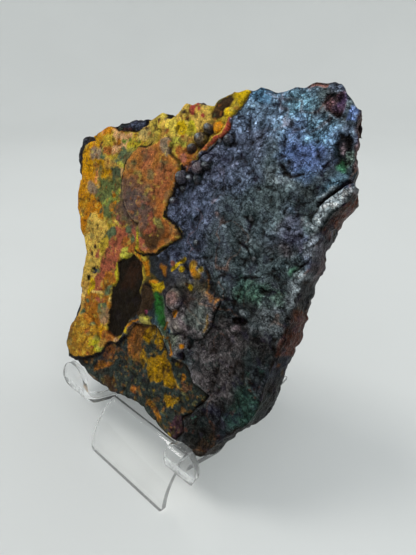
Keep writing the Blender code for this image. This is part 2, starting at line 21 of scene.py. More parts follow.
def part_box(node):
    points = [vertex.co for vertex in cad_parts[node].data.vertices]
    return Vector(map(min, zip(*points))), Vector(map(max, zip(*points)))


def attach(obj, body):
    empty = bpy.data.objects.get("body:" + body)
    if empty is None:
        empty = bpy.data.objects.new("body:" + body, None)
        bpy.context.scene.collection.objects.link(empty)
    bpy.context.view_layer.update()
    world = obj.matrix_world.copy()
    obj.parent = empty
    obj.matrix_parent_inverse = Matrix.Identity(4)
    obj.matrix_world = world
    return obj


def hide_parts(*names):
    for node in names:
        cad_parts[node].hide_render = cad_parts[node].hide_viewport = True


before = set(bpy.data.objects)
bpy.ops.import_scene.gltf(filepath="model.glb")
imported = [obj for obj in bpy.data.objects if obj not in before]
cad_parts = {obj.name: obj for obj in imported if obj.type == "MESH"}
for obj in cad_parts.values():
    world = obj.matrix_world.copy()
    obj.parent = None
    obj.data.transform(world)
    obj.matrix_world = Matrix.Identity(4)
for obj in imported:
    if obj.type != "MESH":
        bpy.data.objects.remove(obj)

MM = 0.001
BODY = "root"

# The stone's lean, where its face's foot stands (back, up), and how far its back reaches behind the face.
LEAN = math.radians(26.0)
FACE_FOOT = (14.3, 17.7)
REACH_BACK = 13.6

Array = np.ndarray
Thing = bpy.types.Object
Socket = bpy.types.NodeSocket
Material = bpy.types.Material
Edge = tuple[int, int]
Move = tuple[str, float, float]
Path = list[tuple[Vector, float, float]]
Pair = tuple[float, float]
Place = tuple[float, float, float]
Colour = tuple[float, float, float, float]

log = logging.getLogger("turgite")


class Tone(Enum):
    """The stone's colours, as six hexadecimal digits."""

    INK = "0b0a0c"
    SLATE = "2e2f39"
    BLUE_SLATE = "515a70"
    BASE_SLATE = "39423c"
    VIOLET_SLATE = "555a6a"
    TEAL_SLATE = "4a5557"
    OLIVE_BLACK = "252420"
    GOLD = "b98608"
    ORANGE_GOLD = "cf9206"
    ORANGE = "c07a0c"
    ORANGE_BROWN = "a8691c"
    RUST = "a3602a"
    SALMON = "d0a070"
    BRIGHT_SALMON = "e09050"
    TAN = "bf9344"
    PINK_TAN = "b08a64"
    CREAM = "e0bd6c"
    PALE_YELLOW = "dec650"
    STRAW = "d2ae50"
    YELLOW = "ccaa0c"
    DEEP_YELLOW = "b88a04"
    HONEY = "ab7c22"
    OLIVE_YELLOW = "b59a30"
    YELLOW_GREEN = "baae24"
    LIME = "c4c04a"
    ACID = "bcb800"
    LEAF = "6b8233"
    MOSS = "5f6a3c"
    MOSS_LIGHT = "7e8c40"
    OLIVE = "7d7440"
    GREEN_GREY = "5c6b4c"
    DEEP_GREEN = "4f593f"
    PALE_OLIVE = "8f8545"
    PALE_GREEN = "5c8a70"
    BRIGHT_GREEN = "3c7a50"
    TEAL_GREEN = "2f5a4a"
    BROWN = "5c4026"
    DARK_BROWN = "3a2a1a"
    PEAT = "1d150a"
    RED_PEAT = "301c0d"
    PLUM = "4a3038"
    TAUPE = "8f7a63"
    MAUVE = "6b5a4c"
    DARK_MAUVE = "54403c"
    RED_MAUVE = "75503c"
    BRICK = "a65a42"
    ROSE = "b8705c"
    RED = "a04038"
    MAGENTA = "93405c"
    TEAL_BLUE = "2c5670"
    CYAN = "5f8a97"
    BLUE = "6d85ba"
    VIOLET = "3f3a6c"
    BRONZE = "6b4a50"
    PINK_SILVER = "a08a90"
    SILVER = "a0a9ad"
    GREEN_SILVER = "7f9488"
    RED_BROWN = "5a2f1e"
    GREY_MAUVE = "625a5a"
    LEAF_GREEN = "286c26"
    SKY_SLATE = "6e869c"

    def linear(self) -> Array:
        """The colour as three linear values."""
        value = np.array([int(self.value[at : at + 2], 16) for at in (0, 2, 4)]) / 255.0
        return np.where(value <= 0.04045, value / 12.92, ((value + 0.055) / 1.055) ** 2.4)


# Noise, distances and mixing on the face.


def lattice_noise(points: Array, size: float, seed: int) -> Array:
    """Smooth noise with features of one size.

    Args:
        points: Places in millimetres, three numbers each.
        size: How far apart the noise's features are, in millimetres.
        seed: Which of many such noises.

    Returns:
        A number from -1 to 1 for each point.
    """
    grid = np.asarray(points, float) / size
    low = np.floor(grid).astype(np.int64)
    part = grid - low
    ease = part * part * (3.0 - 2.0 * part)
    total = np.zeros(len(grid))
    for corner in range(8):
        offset = np.array([corner & 1, (corner >> 1) & 1, (corner >> 2) & 1])
        cell = low + offset
        mix = cell[:, 0] * 374761393 + cell[:, 1] * 668265263 + cell[:, 2] * 2147483647 + seed * 974634777
        mix = (mix ^ (mix >> 13)) * 1274126177
        value = ((mix ^ (mix >> 16)) & 0xFFFF) / 32767.5 - 1.0
        total += value * np.prod(np.where(offset == 1, ease, 1.0 - ease), axis=1)
    return total


def layered_noise(points: Array, size: float, seed: int, layers: int = 3) -> Array:
    """Noise made of layers, each with half the size and half the strength of the one before.

    Args:
        points: Places in millimetres, three numbers each.
        size: The size of the largest features.
        seed: Which of many such noises.
        layers: How many layers.

    Returns:
        A number from about -1 to 1 for each point.
    """
    total = np.zeros(len(points))
    for layer in range(layers):
        total += lattice_noise(points, size / 2.0**layer, seed + layer) / 2.0**layer
    return total / (2.0 - 0.5 ** (layers - 1))


def segment_distance(points: Array, start: Sequence[float], end: Sequence[float]) -> Array:
    """Distance of each point to one straight segment.

    Args:
        points: Places on the face.
        start: One end of the segment.
        end: Its other end.

    Returns:
        A distance for each point.
    """
    run = np.asarray(end, float) - np.asarray(start, float)
    reach = points - np.asarray(start, float)
    along = np.clip(reach @ run / max(run @ run, 1.0e-12), 0.0, 1.0)
    return np.hypot(*(reach - np.outer(along, run)).T)


def path_distance(points: Array, path: Sequence[Pair]) -> Array:
    """Distance of each point to an open line of points.

    Args:
        points: Places on the face.
        path: The line's points in order.

    Returns:
        A distance for each point.
    """
    nearest = np.full(len(points), 1.0e9)
    for start, end in zip(path, path[1:]):
        nearest = np.minimum(nearest, segment_distance(points, start, end))
    return nearest


def edge_distance(points: Array, polygon: Sequence[Pair] | Array) -> Array:
    """Distance of each point to a closed outline.

    Args:
        points: Places on the face.
        polygon: The outline's corners in order.

    Returns:
        A distance for each point, positive inside the outline.
    """
    corners = np.asarray(polygon, float)
    nearest = np.full(len(points), 1.0e9)
    inside = np.zeros(len(points), bool)
    for start, end in zip(corners, np.roll(corners, -1, axis=0)):
        nearest = np.minimum(nearest, segment_distance(points, start, end))
        crosses = (start[1] > points[:, 1]) != (end[1] > points[:, 1])
        rise = end[1] - start[1] if end[1] != start[1] else 1.0
        inside ^= crosses & (points[:, 0] < start[0] + (points[:, 1] - start[1]) * (end[0] - start[0]) / rise)
    return np.where(inside, nearest, -nearest)


def ease_step(value: Array) -> Array:
    """A smooth step from 0 to 1 as value goes from 0 to 1."""
    held = np.clip(value, 0.0, 1.0)
    return held * held * (3.0 - 2.0 * held)


def rise(value: Array, start: float, span: float) -> Array:
    """A smooth step from 0 where value is at start to 1 a span beyond it, downwards for a negative span."""
    return ease_step((value - start) / span)


def at_level(points: Array, level: float = 0.0) -> Array:
    """Places on the face as three numbers each, the last one the same for all."""
    return np.column_stack([points, np.full(len(points), level)])


def noise_columns(points: Array, size: float, seeds: Sequence[int], layers: int = 1) -> Array:
    """Noise at each point, in one column for each seed."""
    return np.column_stack([layered_noise(points, size, seed, layers) for seed in seeds])


def cut_level(points: Array) -> Array:
    """Places on the face with their foot cut level."""
    return np.column_stack([points[:, 0], np.maximum(points[:, 1], 0.0)])


def mix_over(colour: Array, tone: Tone, cover: Array) -> None:
    """Mixes a tone over colours, in place."""
    colour += (tone.linear() - colour) * cover[:, None]


def dome(
    points: Array, across: float, along: float, half_width: float, half_length: float, turn: float = 0.0
) -> Array:
    """The height of a unit dome over an ellipse.

    Args:
        points: Places on the face.
        across: The dome's middle, to the right.
        along: The dome's middle, up the slope.
        half_width: Half the ellipse's width.
        half_length: Half its length.
        turn: How far it is turned, in degrees.

    Returns:
        A height from 0 to 1 for each point.
    """
    right = points[:, 0] - across
    up = points[:, 1] - along
    turned = math.radians(turn)
    x = (right * math.cos(turned) + up * math.sin(turned)) / half_width
    y = (up * math.cos(turned) - right * math.sin(turned)) / half_length
    return np.sqrt(np.clip(1.0 - x * x - y * y, 0.0, 1.0))


# The stone's drawing, in millimetres on its face.

OUTLINE = [
    (-48, 0.8), (-43, 2.4), (-37, 1.6), (-32.5, 0.4), (-27.5, 0.3), (-21.5, 0.1), (-14, 1.8), (-8.5, 3.3),
    (-4, 3.5), (-1, 2), (3, 1.8), (5, 0.5), (10, 0.1), (15, 0.6), (19.5, 0.2), (22.5, 0), (24.5, 1.6),
    (26.5, 5.5), (28.8, 10), (32, 14.4), (34.6, 19), (36.4, 23.4), (37.4, 27), (36.6, 31), (36.9, 35.5),
    (37.2, 41), (37.9, 47), (37.8, 54), (37, 60), (37.6, 66), (38, 71), (37.2, 75), (38, 79), (37.4, 82),
    (39.4, 86), (42, 90), (43.2, 93.3), (41.6, 95), (41, 98.3), (39.6, 101.6), (38.6, 106), (37.3, 109.5),
    (37, 112.8), (34.4, 114.3), (32.2, 117), (29.8, 119.2), (25.2, 119), (21.2, 118.6), (18.6, 117),
    (15, 116.9), (13.6, 115.6), (10, 115.4), (4.8, 116.4), (2.4, 115), (0.4, 115), (-4.9, 114.4),
    (-7.8, 112.2), (-10, 110.4), (-10.8, 108.7), (-15.5, 109.1), (-17.6, 109.6), (-20, 108.2),
    (-22.6, 108.2), (-24.4, 106), (-27, 104.5), (-33.5, 104.3), (-36.4, 102.3), (-38, 100.8), (-41, 101.4),
    (-47, 100), (-53.5, 98.2), (-57, 96), (-62, 94.4), (-65.4, 92.8), (-68.8, 90.2), (-75.2, 89.8),
    (-76, 85.5), (-77.6, 81.6), (-75.6, 78.6), (-74.8, 75.4), (-71.2, 73), (-69.6, 67), (-67.4, 61.4),
    (-63.2, 57.6), (-61.4, 53.4), (-57.6, 50.2), (-55.2, 45.6), (-53.9, 38), (-52.6, 31), (-52.4, 26),
    (-53.4, 19), (-52.8, 11.5), (-50.6, 5.6),
]

SLATE_RIMS = [
    [
        (-82, 94), (-69, 91.5), (-66.5, 89), (-71, 87), (-72.6, 82), (-71.4, 78), (-70.6, 73), (-74, 70),
        (-82, 76),
    ],
    [(-60, 102), (-57.5, 96), (-54, 94.6), (-48, 95.6), (-42, 96.6), (-39, 99.6), (-38.6, 104)],
    [(-34, 107), (-32.4, 104), (-30.2, 102), (-28, 102.6), (-25.4, 105), (-26, 107)],
    [(-58, 31), (-52, 31), (-50.6, 24), (-49.6, 20), (-51.6, 16), (-52, 11), (-58, 10)],
]
LOWER_BASE = [
    (-52, -4), (-48, 2.4), (-44, 4), (-39.5, 5.6), (-35.5, 8.6), (-32.6, 11.4), (-31.4, 15), (-29.5, 17.4),
    (-24.8, 18), (-22, 22.5), (-19.5, 29), (-15.5, 31), (-9, 32.4), (-4.5, 29), (0.5, 25.4), (8, 25.4),
    (12.5, 22), (19, 20.4), (18.6, 17.4), (16.4, 14.4), (15.4, 11.6), (12.8, 8.8), (15, 4.2), (13, -4),
]
FLAKE = [
    (-43.8, 83), (-43.6, 78.5), (-42, 73), (-39.5, 69.5), (-36, 66.5), (-33, 65), (-29, 65), (-27.6, 60),
    (-26, 55.8), (-22.2, 54.8), (-17.2, 56.6), (-15.6, 59.2), (-12.4, 62), (-9.2, 64.8), (-12.4, 68.6),
    (-17, 69.2), (-19, 74.6), (-18.2, 80.6), (-17.6, 84), (-18.6, 88), (-22, 89.8), (-24.2, 91),
    (-24.2, 95.2), (-27.6, 96), (-30, 94.2), (-34.8, 90.6), (-39, 90.8), (-41.8, 87.2),
]
BROWN_PATCH = [
    (-30, 53), (-26, 52), (-23.2, 49.5), (-21, 45.5), (-21.2, 41), (-18.8, 38), (-19, 34), (-21, 31),
    (-22.8, 27), (-24.2, 22), (-27.5, 19.5), (-31.5, 20.2), (-32.6, 26), (-33.6, 31), (-35.2, 37), (-33, 41),
    (-34, 45), (-36, 47.5), (-33.4, 50),
]
LOBE = [
    (-9, 53), (-4, 54.6), (3, 53.6), (8, 52.4), (12.4, 50.6), (13.2, 47), (12, 42), (11.6, 37), (7.4, 35.2),
    (6.6, 31), (4.6, 26.6), (1, 25.4), (-1.2, 29.4), (-3.6, 33), (-6, 38), (-9.6, 43), (-11, 48),
]
EDGE_HOLLOW = [
    (33.6, 106.4), (37.6, 106), (39.6, 101), (38.8, 97.8), (35.8, 98), (34.2, 100.8), (33.1, 103),
]
BRONZE_FACET = [(26, 116.4), (31, 117), (32.4, 113.6), (31.4, 110.4), (28, 112), (25.8, 114)]

STEPS = [(rim, -1.6, 0.5) for rim in SLATE_RIMS] + [
    (LOWER_BASE, -0.9, 0.6),
    (FLAKE, 1.1, 0.35),
    (BROWN_PATCH, -0.7, 0.35),
    (LOBE, 0.9, 3.0),
    (EDGE_HOLLOW, -0.9, 2.4),
    (BRONZE_FACET, -0.5, 0.4),
]

LUMPS = [
    (-10.6, 101.8, 1.9, 1.9, 2), (-12.4, 97.9, 2.6, 2.3, 2.4), (-15.9, 94.6, 1.6, 1.5, 1.4),
    (-1.3, 99.6, 1.6, 1.5, 1.6), (-15.5, 84.4, 2.4, 2.3, 2.3), (-9.8, 88.6, 2.2, 2.3, 2),
    (-9, 85.4, 1.6, 1.4, 1.8), (-6.8, 89.9, 1.4, 1.3, 1.5), (-12, 85, 1.3, 1.3, 1.2),
    (-14.1, 81, 1.2, 0.9, 1), (-16.8, 76.2, 1.3, 1, 1), (-6.8, 102.6, 2.4, 2, 0.9),
    (-4.2, 44.6, 3.3, 3.9, 1.8), (-4, 51.4, 2.6, 2.4, 0.6), (0.8, 38.2, 3.4, 3.4, 0.8),
    (3, 30.8, 2.4, 3.6, 1.3), (0.4, 56.4, 2.6, 2.2, 0.6), (-6.6, 55.6, 1.8, 1.4, 0.6),
    (-15, 46.6, 2.4, 1.3, 0.7), (-15.2, 32.2, 2.4, 1.5, 0.8), (-4.6, 107.8, 1.9, 1.4, 0.8),
    (-45, 13, 9.5, 9.5, 1.8), (-36.5, 12.6, 3.6, 3.6, 0.9), (-18.6, 107.4, 2.4, 1.8, 0.5),
    (-66, 84, 7, 5, 0.8), (-31, 101, 4, 2.6, 0.5), (22.8, 50.6, 2, 1.2, 0.5), (21.4, 44.6, 2, 1.2, 0.5),
    (12.6, 61.8, 3.4, 2.2, 0.5), (28, 62, 3, 2.4, 0.6), (37, 67.4, 1.9, 2.4, 0.4),
    (36.8, 76.6, 1.6, 1.8, 0.4), (36.6, 64, 2.2, 1.6, 0.3), (-2.4, 65.1, 0.9, 0.9, 0.6),
    (15.1, 78, 1, 1, 0.7), (20.6, 67.1, 0.9, 0.9, 0.6), (-10.6, 66.4, 0.9, 0.8, 0.5),
]
PITS = [
    (22, 47.6, 2.9, 1.2, 22, 1.5), (24.6, 101.4, 8.4, 7.6, 0, 0.25), (18.4, 97.8, 1.2, 0.6, 10, 0.35),
    (14.6, 86.8, 1.6, 0.7, 0, 0.35), (19, 88.2, 2.2, 0.9, 10, 0.3), (15.6, 77.4, 1, 0.8, 0, 0.35),
    (15.4, 52, 1.7, 1, 0, 0.6), (18.8, 52.2, 1.7, 1, 10, 0.5), (21.4, 61.2, 3, 0.9, 20, 0.55),
    (28.4, 59.2, 3.2, 1.3, 5, 0.6), (25, 74.8, 3.2, 0.9, 8, 0.4), (5.4, 57.4, 2.4, 1.1, -40, 0.65),
    (6.8, 33, 1.1, 2.6, 12, 0.9), (5.2, 27.6, 1.6, 1.6, 0, 0.7), (-47.2, 39.8, 1.5, 1.2, 20, 0.45),
    (-49.6, 36.2, 1.1, 1.2, 0, 0.4), (36, 83, 0.9, 2, -20, 0.45),
]
RIDGES = [
    ([(42.4, 93.4), (39.6, 90.2), (36.8, 86.8), (35.8, 83.4)], 1.8, 1.1),
    ([(-3.0, 105.4), (-3.4, 101.4), (-7.0, 98.6), (-9.6, 95.4), (-11.6, 92.2)], 0.8, 1.0),
    ([(10.5, 99.0), (13.5, 93.4), (18.0, 90.6), (24.5, 90.6), (30.0, 94.0)], 2.2, 0.2),
]
LEDGE_CRACK = [(39.9, 94.4), (37.4, 91), (34.6, 87.6)]
LOWER_CRACK = [
    (19, 20.2), (18.4, 17.4), (15.9, 14.2), (15.2, 11.4), (12.6, 8.8), (15.2, 4.2), (13.4, 1),
]
HOLLOW_CRACK = [(18.6, 95.2), (21, 93.4), (23.6, 92.9), (27.2, 94.4)]
CRACKS = [
    (LEDGE_CRACK, 1.0, 2.0),
    ([(1.0, 114.6), (-0.4, 111.0), (-3.0, 106.8), (-2.0, 102.4)], 0.6, 1.1),
    ([(-5.0, 97.8), (-8.0, 94.6), (-11.0, 91.2)], 0.5, 0.9),
    (LOWER_CRACK, 0.6, 1.2),
    (HOLLOW_CRACK, 0.7, 0.7),
    ([(13.6, 50.6), (12.9, 46.4), (13.0, 42.0), (11.4, 37.2)], 0.5, 0.9),
    ([(37.0, 71.6), (35.4, 69.8), (33.8, 68.0)], 0.6, 1.0),
    ([(14.0, 70.6), (17.0, 69.6), (19.0, 67.2)], 0.8, 0.7),
]

# Where the thin earthy crust still covers the dark metallic rock, and its lower border.
CRUST_FOOT = [
    (-31.3, 14.3), (-31.5, 12), (-33, 10.3), (-35, 8.8), (-36.5, 6.8), (-38.5, 5.8), (-42, 5), (-45, 3.6),
    (-48, 2.8),
]
CRUST = [
    (1, 119), (1, 112.5), (-0.5, 110), (-2, 107), (-3, 106), (-2, 104), (-2.2, 101.5), (-3.7, 100), (-6, 98),
    (-8.5, 95), (-10.5, 93), (-11.5, 91), (-14, 90), (-17, 88), (-17.6, 84), (-18.2, 80.6), (-18.5, 75),
    (-16, 70), (-10, 68), (-8, 65), (-13, 60.5), (-15.5, 57), (-20, 54.5), (-18.5, 49), (-13.5, 48),
    (-14.5, 44.5), (-20, 44), (-20.5, 38), (-19.5, 34), (-21.5, 30), (-23, 24), (-24, 18), (-30, 16.5),
    *CRUST_FOOT, (-56, 2), (-60, 30), (-64, 46), (-84, 66), (-84, 96), (-60, 104), (-20, 116),
]


@dataclass(frozen=True)
class Patch:
    """One painted area of the face.

    The points are a closed outline where width is 0, and otherwise the middle of a streak that wide. One
    point is the middle of a round spot of that width.
    """

    tone: Tone
    points: list[Pair]
    width: float = 0.0
    soft: float = 0.7
    ragged: float = 0.6
    share: float = 1.0

    def cover(self, places: Array, wander: Array) -> tuple[Array, Array]:
        """How much of each place the patch covers.

        Args:
            places: Places on the face.
            wander: The unit shift that makes borders ragged, at each place.

        Returns:
            The indices of the places near the patch, and its cover there.
        """
        shape = np.asarray(self.points, float)
        reach = self.width + self.soft + 2.2 * self.ragged + 0.6
        near = np.all((places > shape.min(axis=0) - reach) & (places < shape.max(axis=0) + reach), axis=1)
        picked = np.flatnonzero(near)
        moved = places[picked] + wander[picked] * self.ragged
        if self.width == 0.0:
            inside = edge_distance(moved, self.points)
        elif len(self.points) == 1:
            inside = 0.5 * self.width - np.hypot(*(moved - shape[0]).T)
        else:
            inside = 0.5 * self.width - path_distance(moved, self.points)
        return picked, self.share * ease_step(inside / self.soft + 0.5)


def area(tone: Tone, *points: Pair, soft: float = 0.6, ragged: float = 0.4, share: float = 1.0) -> Patch:
    """An area inside an outline."""
    return Patch(tone, list(points), 0.0, soft, ragged, share)


def block(
    tone: Tone, left: float, low: float, right: float, high: float, soft: float = 1.6, share: float = 1.0
) -> Patch:
    """A loose blot that fills about the given range across and up."""
    cut = 0.22 * min(right - left, high - low)
    corners = [
        (left + cut, low), (right - cut, low), (right, low + cut), (right, high - cut), (right - cut, high),
        (left + cut, high), (left, high - cut), (left, low + cut),
    ]
    return Patch(tone, corners, 0.0, soft, min(1.3, 0.35 + cut), share)


def streak(
    tone: Tone, width: float, *points: Pair, soft: float = 0.5, ragged: float = 0.4, share: float = 1.0
) -> Patch:
    """A streak of one width along a line."""
    return Patch(tone, list(points), width, soft, ragged, share)


def spot(
    tone: Tone, across: float, along: float, radius: float, soft: float = 0.5, share: float = 1.0
) -> Patch:
    """A round spot."""
    return Patch(tone, [(across, along)], 2.0 * radius, soft, 0.3, share)


# The crust's large fields, then what lies on them, in the order of painting.
CRUST_PATCHES = [
    block(Tone.GOLD, -72, 66, -55, 95, 3),
    block(Tone.ORANGE_GOLD, -67, 70.5, -55, 78.5),
    block(Tone.ORANGE_GOLD, -76, 60, -64, 92, 3, 0.7),
    block(Tone.ORANGE, -72, 58, -60, 76, 3, 0.5),
    area(Tone.ORANGE, (-65, 92), (-56, 90), (-50, 91), (-50, 97), (-66, 96)),
    block(Tone.SALMON, -57, 87, -45, 94.5),
    block(Tone.BRIGHT_SALMON, -63.2, 92.8, -61, 94.8, 0.8),
    block(Tone.ORANGE_BROWN, -53.4, 89.6, -50.6, 91.9, 0.8),
    block(Tone.OLIVE_YELLOW, -59.6, 87.2, -54.4, 93.4),
    block(Tone.BROWN, -61.8, 87.2, -60.2, 89.8, 0.8),
    block(Tone.DEEP_GREEN, -60.6, 85.9, -57.8, 87.7, 0.8),
    block(Tone.RUST, -58.4, 85.4, -53.6, 88.8),
    block(Tone.TAUPE, -66.4, 82, -59.8, 87.2),
    block(Tone.GREEN_GREY, -60.4, 83, -55.6, 85.5, 0.8),
    block(Tone.BRIGHT_SALMON, -61.4, 73.2, -58.2, 78.4, 1),
    block(Tone.TAUPE, -64.4, 68, -57.6, 72.4),
    block(Tone.OLIVE, -59, 73.5, -55, 80),
    block(Tone.TAN, -56, 79.4, -45.6, 84.8),
    block(Tone.GREEN_GREY, -49.4, 83.4, -40, 89.8),
    block(Tone.YELLOW_GREEN, -44.4, 88.6, -36.6, 92.4, 1.6, 0.7),
    block(Tone.LEAF, -50.2, 90.8, -46.8, 92.6, 0.8),
    block(Tone.LEAF, -42.8, 92.2, -40.6, 94.4, 0.8),
    spot(Tone.LEAF, -45.5, 92.5, 0.8),
    block(Tone.LIME, -47.8, 81.2, -44.2, 84.8, 1, 0.8),
    block(Tone.DEEP_GREEN, -53, 76, -45.6, 81.8),
    block(Tone.GOLD, -57.4, 74.6, -51.6, 80.4),
    block(Tone.YELLOW, -45.4, 77, -42.6, 80, 0.8),
    block(Tone.SALMON, -46, 78, -44, 81.4, 0.8, 0.8),
    block(Tone.CREAM, -42.6, 93.4, -36, 101),
    block(Tone.PALE_YELLOW, -37.4, 97.6, -31, 105),
    block(Tone.OLIVE, -37.4, 92, -31.6, 97.6, 1.6, 0.6),
    spot(Tone.BROWN, -39, 98.2, 0.8),
    spot(Tone.BROWN, -33, 101.3, 0.8),
    block(Tone.MOSS, -58, 62, -41, 77, 2),
    streak(Tone.MOSS_LIGHT, 2.2, (-50, 68), (-46, 71), (-44, 75)),
    streak(Tone.MOSS_LIGHT, 1.8, (-53, 66), (-49, 66.5), (-45, 69.5)),
    spot(Tone.LIME, -44, 73, 1.1),
    spot(Tone.LIME, -43.5, 70, 1),
    block(Tone.ORANGE, -47.2, 65.6, -44.2, 68.4, 0.8),
    spot(Tone.ORANGE, -47, 71, 0.9),
    block(Tone.ORANGE, -63, 52, -50, 66.5, 2),
    spot(Tone.DEEP_GREEN, -52.2, 63.5, 1.1),
    spot(Tone.DEEP_GREEN, -56.5, 60, 1.2),
    block(Tone.STRAW, -58, 42, -45.5, 61.5, 2),
    block(Tone.STRAW, -56, 28, -46, 47, 2),
    area(
        Tone.BRICK, (-42, 62), (-41, 60), (-43.4, 57), (-44.6, 51), (-45.6, 45), (-44.6, 42), (-46, 39),
        (-46.5, 36), (-46, 32.6), (-44.5, 32.3), (-41, 34), (-38, 36), (-35.5, 38), (-34, 40.5), (-34.5, 44),
        (-35.5, 48), (-35, 51), (-32, 54), (-28, 56), (-28.6, 60), (-30, 64.4), (-35, 62.8), (-39, 62.6),
    ),
    block(Tone.ROSE, -42.4, 61, -39.2, 64, 0.8),
    block(Tone.RED, -38.4, 65.8, -35.8, 67.4, 0.8),
    block(Tone.MAGENTA, -33.8, 61.6, -31.2, 63.8, 0.8),
    block(Tone.RUST, -35.4, 52.6, -28.4, 58.4),
    block(Tone.ORANGE_BROWN, -41.4, 35.6, -33.8, 42.4),
    area(
        Tone.GREEN_GREY, (-48, 53), (-47, 56), (-44.5, 58), (-43, 59.5), (-41.5, 59.8), (-40.5, 58.5),
        (-40, 56.5), (-42, 55.5), (-43, 54), (-45, 53),
    ),
    block(Tone.GREEN_GREY, -36.8, 59.8, -32.8, 62.4, 0.8),
    block(Tone.GREEN_GREY, -33.8, 57.2, -30.8, 59.8, 0.8),
    block(Tone.OLIVE_YELLOW, -48.8, 46.6, -44.2, 53.4, 1.2),
    block(Tone.BRICK, -49.3, 45.2, -47.2, 49.2, 0.8),
    streak(Tone.PALE_YELLOW, 0.8, (-45, 61), (-43, 62.5), (-40.5, 61)),
    streak(Tone.PALE_YELLOW, 0.8, (-37.5, 61), (-34.5, 63), (-29.5, 65)),
    streak(Tone.YELLOW_GREEN, 1.4, (-29.5, 65), (-29.8, 62.5), (-28.5, 60), (-28, 58), (-28.3, 54.3)),
    area(
        Tone.LIME, (-35, 50), (-34.5, 53), (-32.5, 54.5), (-31.5, 52.8), (-29.5, 53.5), (-31, 51),
        (-33.5, 49), (-35, 48.5),
    ),
    block(Tone.ACID, -33.2, 49.6, -30.8, 51.5, 0.7),
    streak(Tone.YELLOW_GREEN, 1.4, (-35.5, 46.8), (-35, 44), (-33.5, 41), (-33, 40), (-35, 38.3)),
    spot(Tone.DARK_BROWN, -50.5, 49.3, 0.9),
    spot(Tone.DARK_BROWN, -51, 46, 0.8),
    streak(Tone.INK, 3, (-47.8, 40.2), (-46.6, 40.8)),
    streak(Tone.BLUE_SLATE, 1.4, (-47.6, 39.6), (-46.6, 40), share=0.7),
    spot(Tone.PEAT, -49.5, 36.2, 1.3),
    spot(Tone.GREEN_GREY, -45, 40.5, 0.9),
    block(Tone.TAN, -53, 19, -45.5, 34, 1.8),
    block(Tone.CREAM, -52, 24, -48.5, 31, 1.6, 0.6),
    block(Tone.ORANGE_BROWN, -47.6, 18.5, -31.8, 33.4, 2),
    area(Tone.GREEN_GREY, (-49.5, 21), (-47.5, 23.7), (-45.5, 22.7), (-46, 22), (-48, 20.6)),
    spot(Tone.GREEN_GREY, -46.5, 27.3, 1),
    block(Tone.GREEN_GREY, -38.4, 25.8, -34.8, 30.4, 1),
    block(Tone.GREEN_GREY, -38.2, 32.8, -35.2, 37.2, 1),
    spot(Tone.GREEN_GREY, -40, 19.5, 1.2),
    spot(Tone.GREEN_GREY, -32.5, 18.5, 0.9),
    block(Tone.YELLOW, -48.4, 29.8, -46.2, 36.2, 0.9),
    streak(Tone.CREAM, 0.9, (-45.5, 31.8), (-42, 33.2), (-39, 34.3)),
    area(Tone.BRICK, (-42, 31), (-37.5, 32), (-38, 29.8), (-42, 29.8)),
    streak(Tone.CREAM, 0.8, (-34.5, 33), (-32.5, 29.5), (-31.5, 26)),
    block(Tone.PINK_TAN, -37.2, 21.8, -31.4, 28.2, 1.2),
    block(Tone.ORANGE_GOLD, -36.8, 18, -32.2, 21.8, 1),
    block(Tone.HONEY, -54, 3.5, -31.5, 19.4, 1.6),
    block(Tone.YELLOW_GREEN, -37.4, 10.2, -31.8, 17.8, 1.4),
    block(Tone.LIME, -34.4, 11.2, -31.8, 15.2, 0.9, 0.8),
    block(Tone.BROWN, -53.6, 7.6, -49, 18.4, 2.2, 0.7),
    spot(Tone.RUST, -41, 16, 0.9),
    spot(Tone.RUST, -36, 11.8, 0.8),
    spot(Tone.RUST, -37.5, 8.3, 0.9),
    block(Tone.RUST, -33.4, 16.6, -26, 20.2, 0.9),
    block(Tone.PINK_TAN, -26.4, 17.8, -23.8, 20.5, 0.7),
    block(Tone.TAN, -34.4, 14.6, -30.8, 17.8, 0.9),
]

FLAKE_PATCHES = [
    Patch(Tone.RUST, FLAKE, 0, 0.5, 0.5),
    block(Tone.TAN, -43, 74, -20, 93, 4, 0.22),
    block(Tone.MAUVE, -44, 69.6, -35.6, 77.6),
    block(Tone.DARK_BROWN, -41.2, 75.8, -37.2, 78.2, 0.8, 0.8),
    block(Tone.RED_MAUVE, -43.6, 62, -24, 79, 3, 0.8),
    block(Tone.DARK_MAUVE, -40, 65, -28, 76, 2.4, 0.75),
    block(Tone.RED_MAUVE, -28.5, 60, -22, 72),
    block(Tone.BROWN, -26, 57, -15.5, 69),
    block(Tone.GREEN_GREY, -41, 83.8, -38.6, 86.4, 0.8, 0.7),
    block(Tone.GREEN_GREY, -36, 85.6, -32.4, 88, 0.8, 0.7),
    block(Tone.GREEN_GREY, -31, 80.6, -27.4, 83.4, 0.8, 0.6),
    block(Tone.GREEN_GREY, -26.4, 86, -23.2, 88.4, 0.8, 0.6),
    block(Tone.OLIVE, -38, 79.6, -34.6, 82, 0.8, 0.7),
    block(Tone.BRICK, -37, 82, -29.6, 90.4, 2, 0.6),
    block(Tone.BRICK, -27.4, 75.6, -19.6, 86.6, 2, 0.5),
    block(Tone.BRIGHT_SALMON, -31.6, 84.6, -29.4, 88.8, 1.4, 0.4),
    block(Tone.BRICK, -30.4, 72.6, -27.2, 75.9, 0.9),
    block(Tone.BRICK, -26.4, 67.2, -23.2, 70.6, 0.9),
    block(Tone.BRICK, -25.4, 62.6, -19.6, 67.2, 1.2, 0.8),
    block(Tone.BRICK, -26, 57.2, -22.4, 59.7, 0.9),
    block(Tone.ROSE, -23.7, 56.2, -20.8, 57.7, 0.7, 0.8),
    block(Tone.OLIVE, -21.4, 65.8, -16.8, 69.2, 1),
    block(Tone.TAUPE, -28, 90.4, -24.4, 95.6, 0.9),
    block(Tone.GREY_MAUVE, -42, 62, -26, 77, 4, 0.38),
]

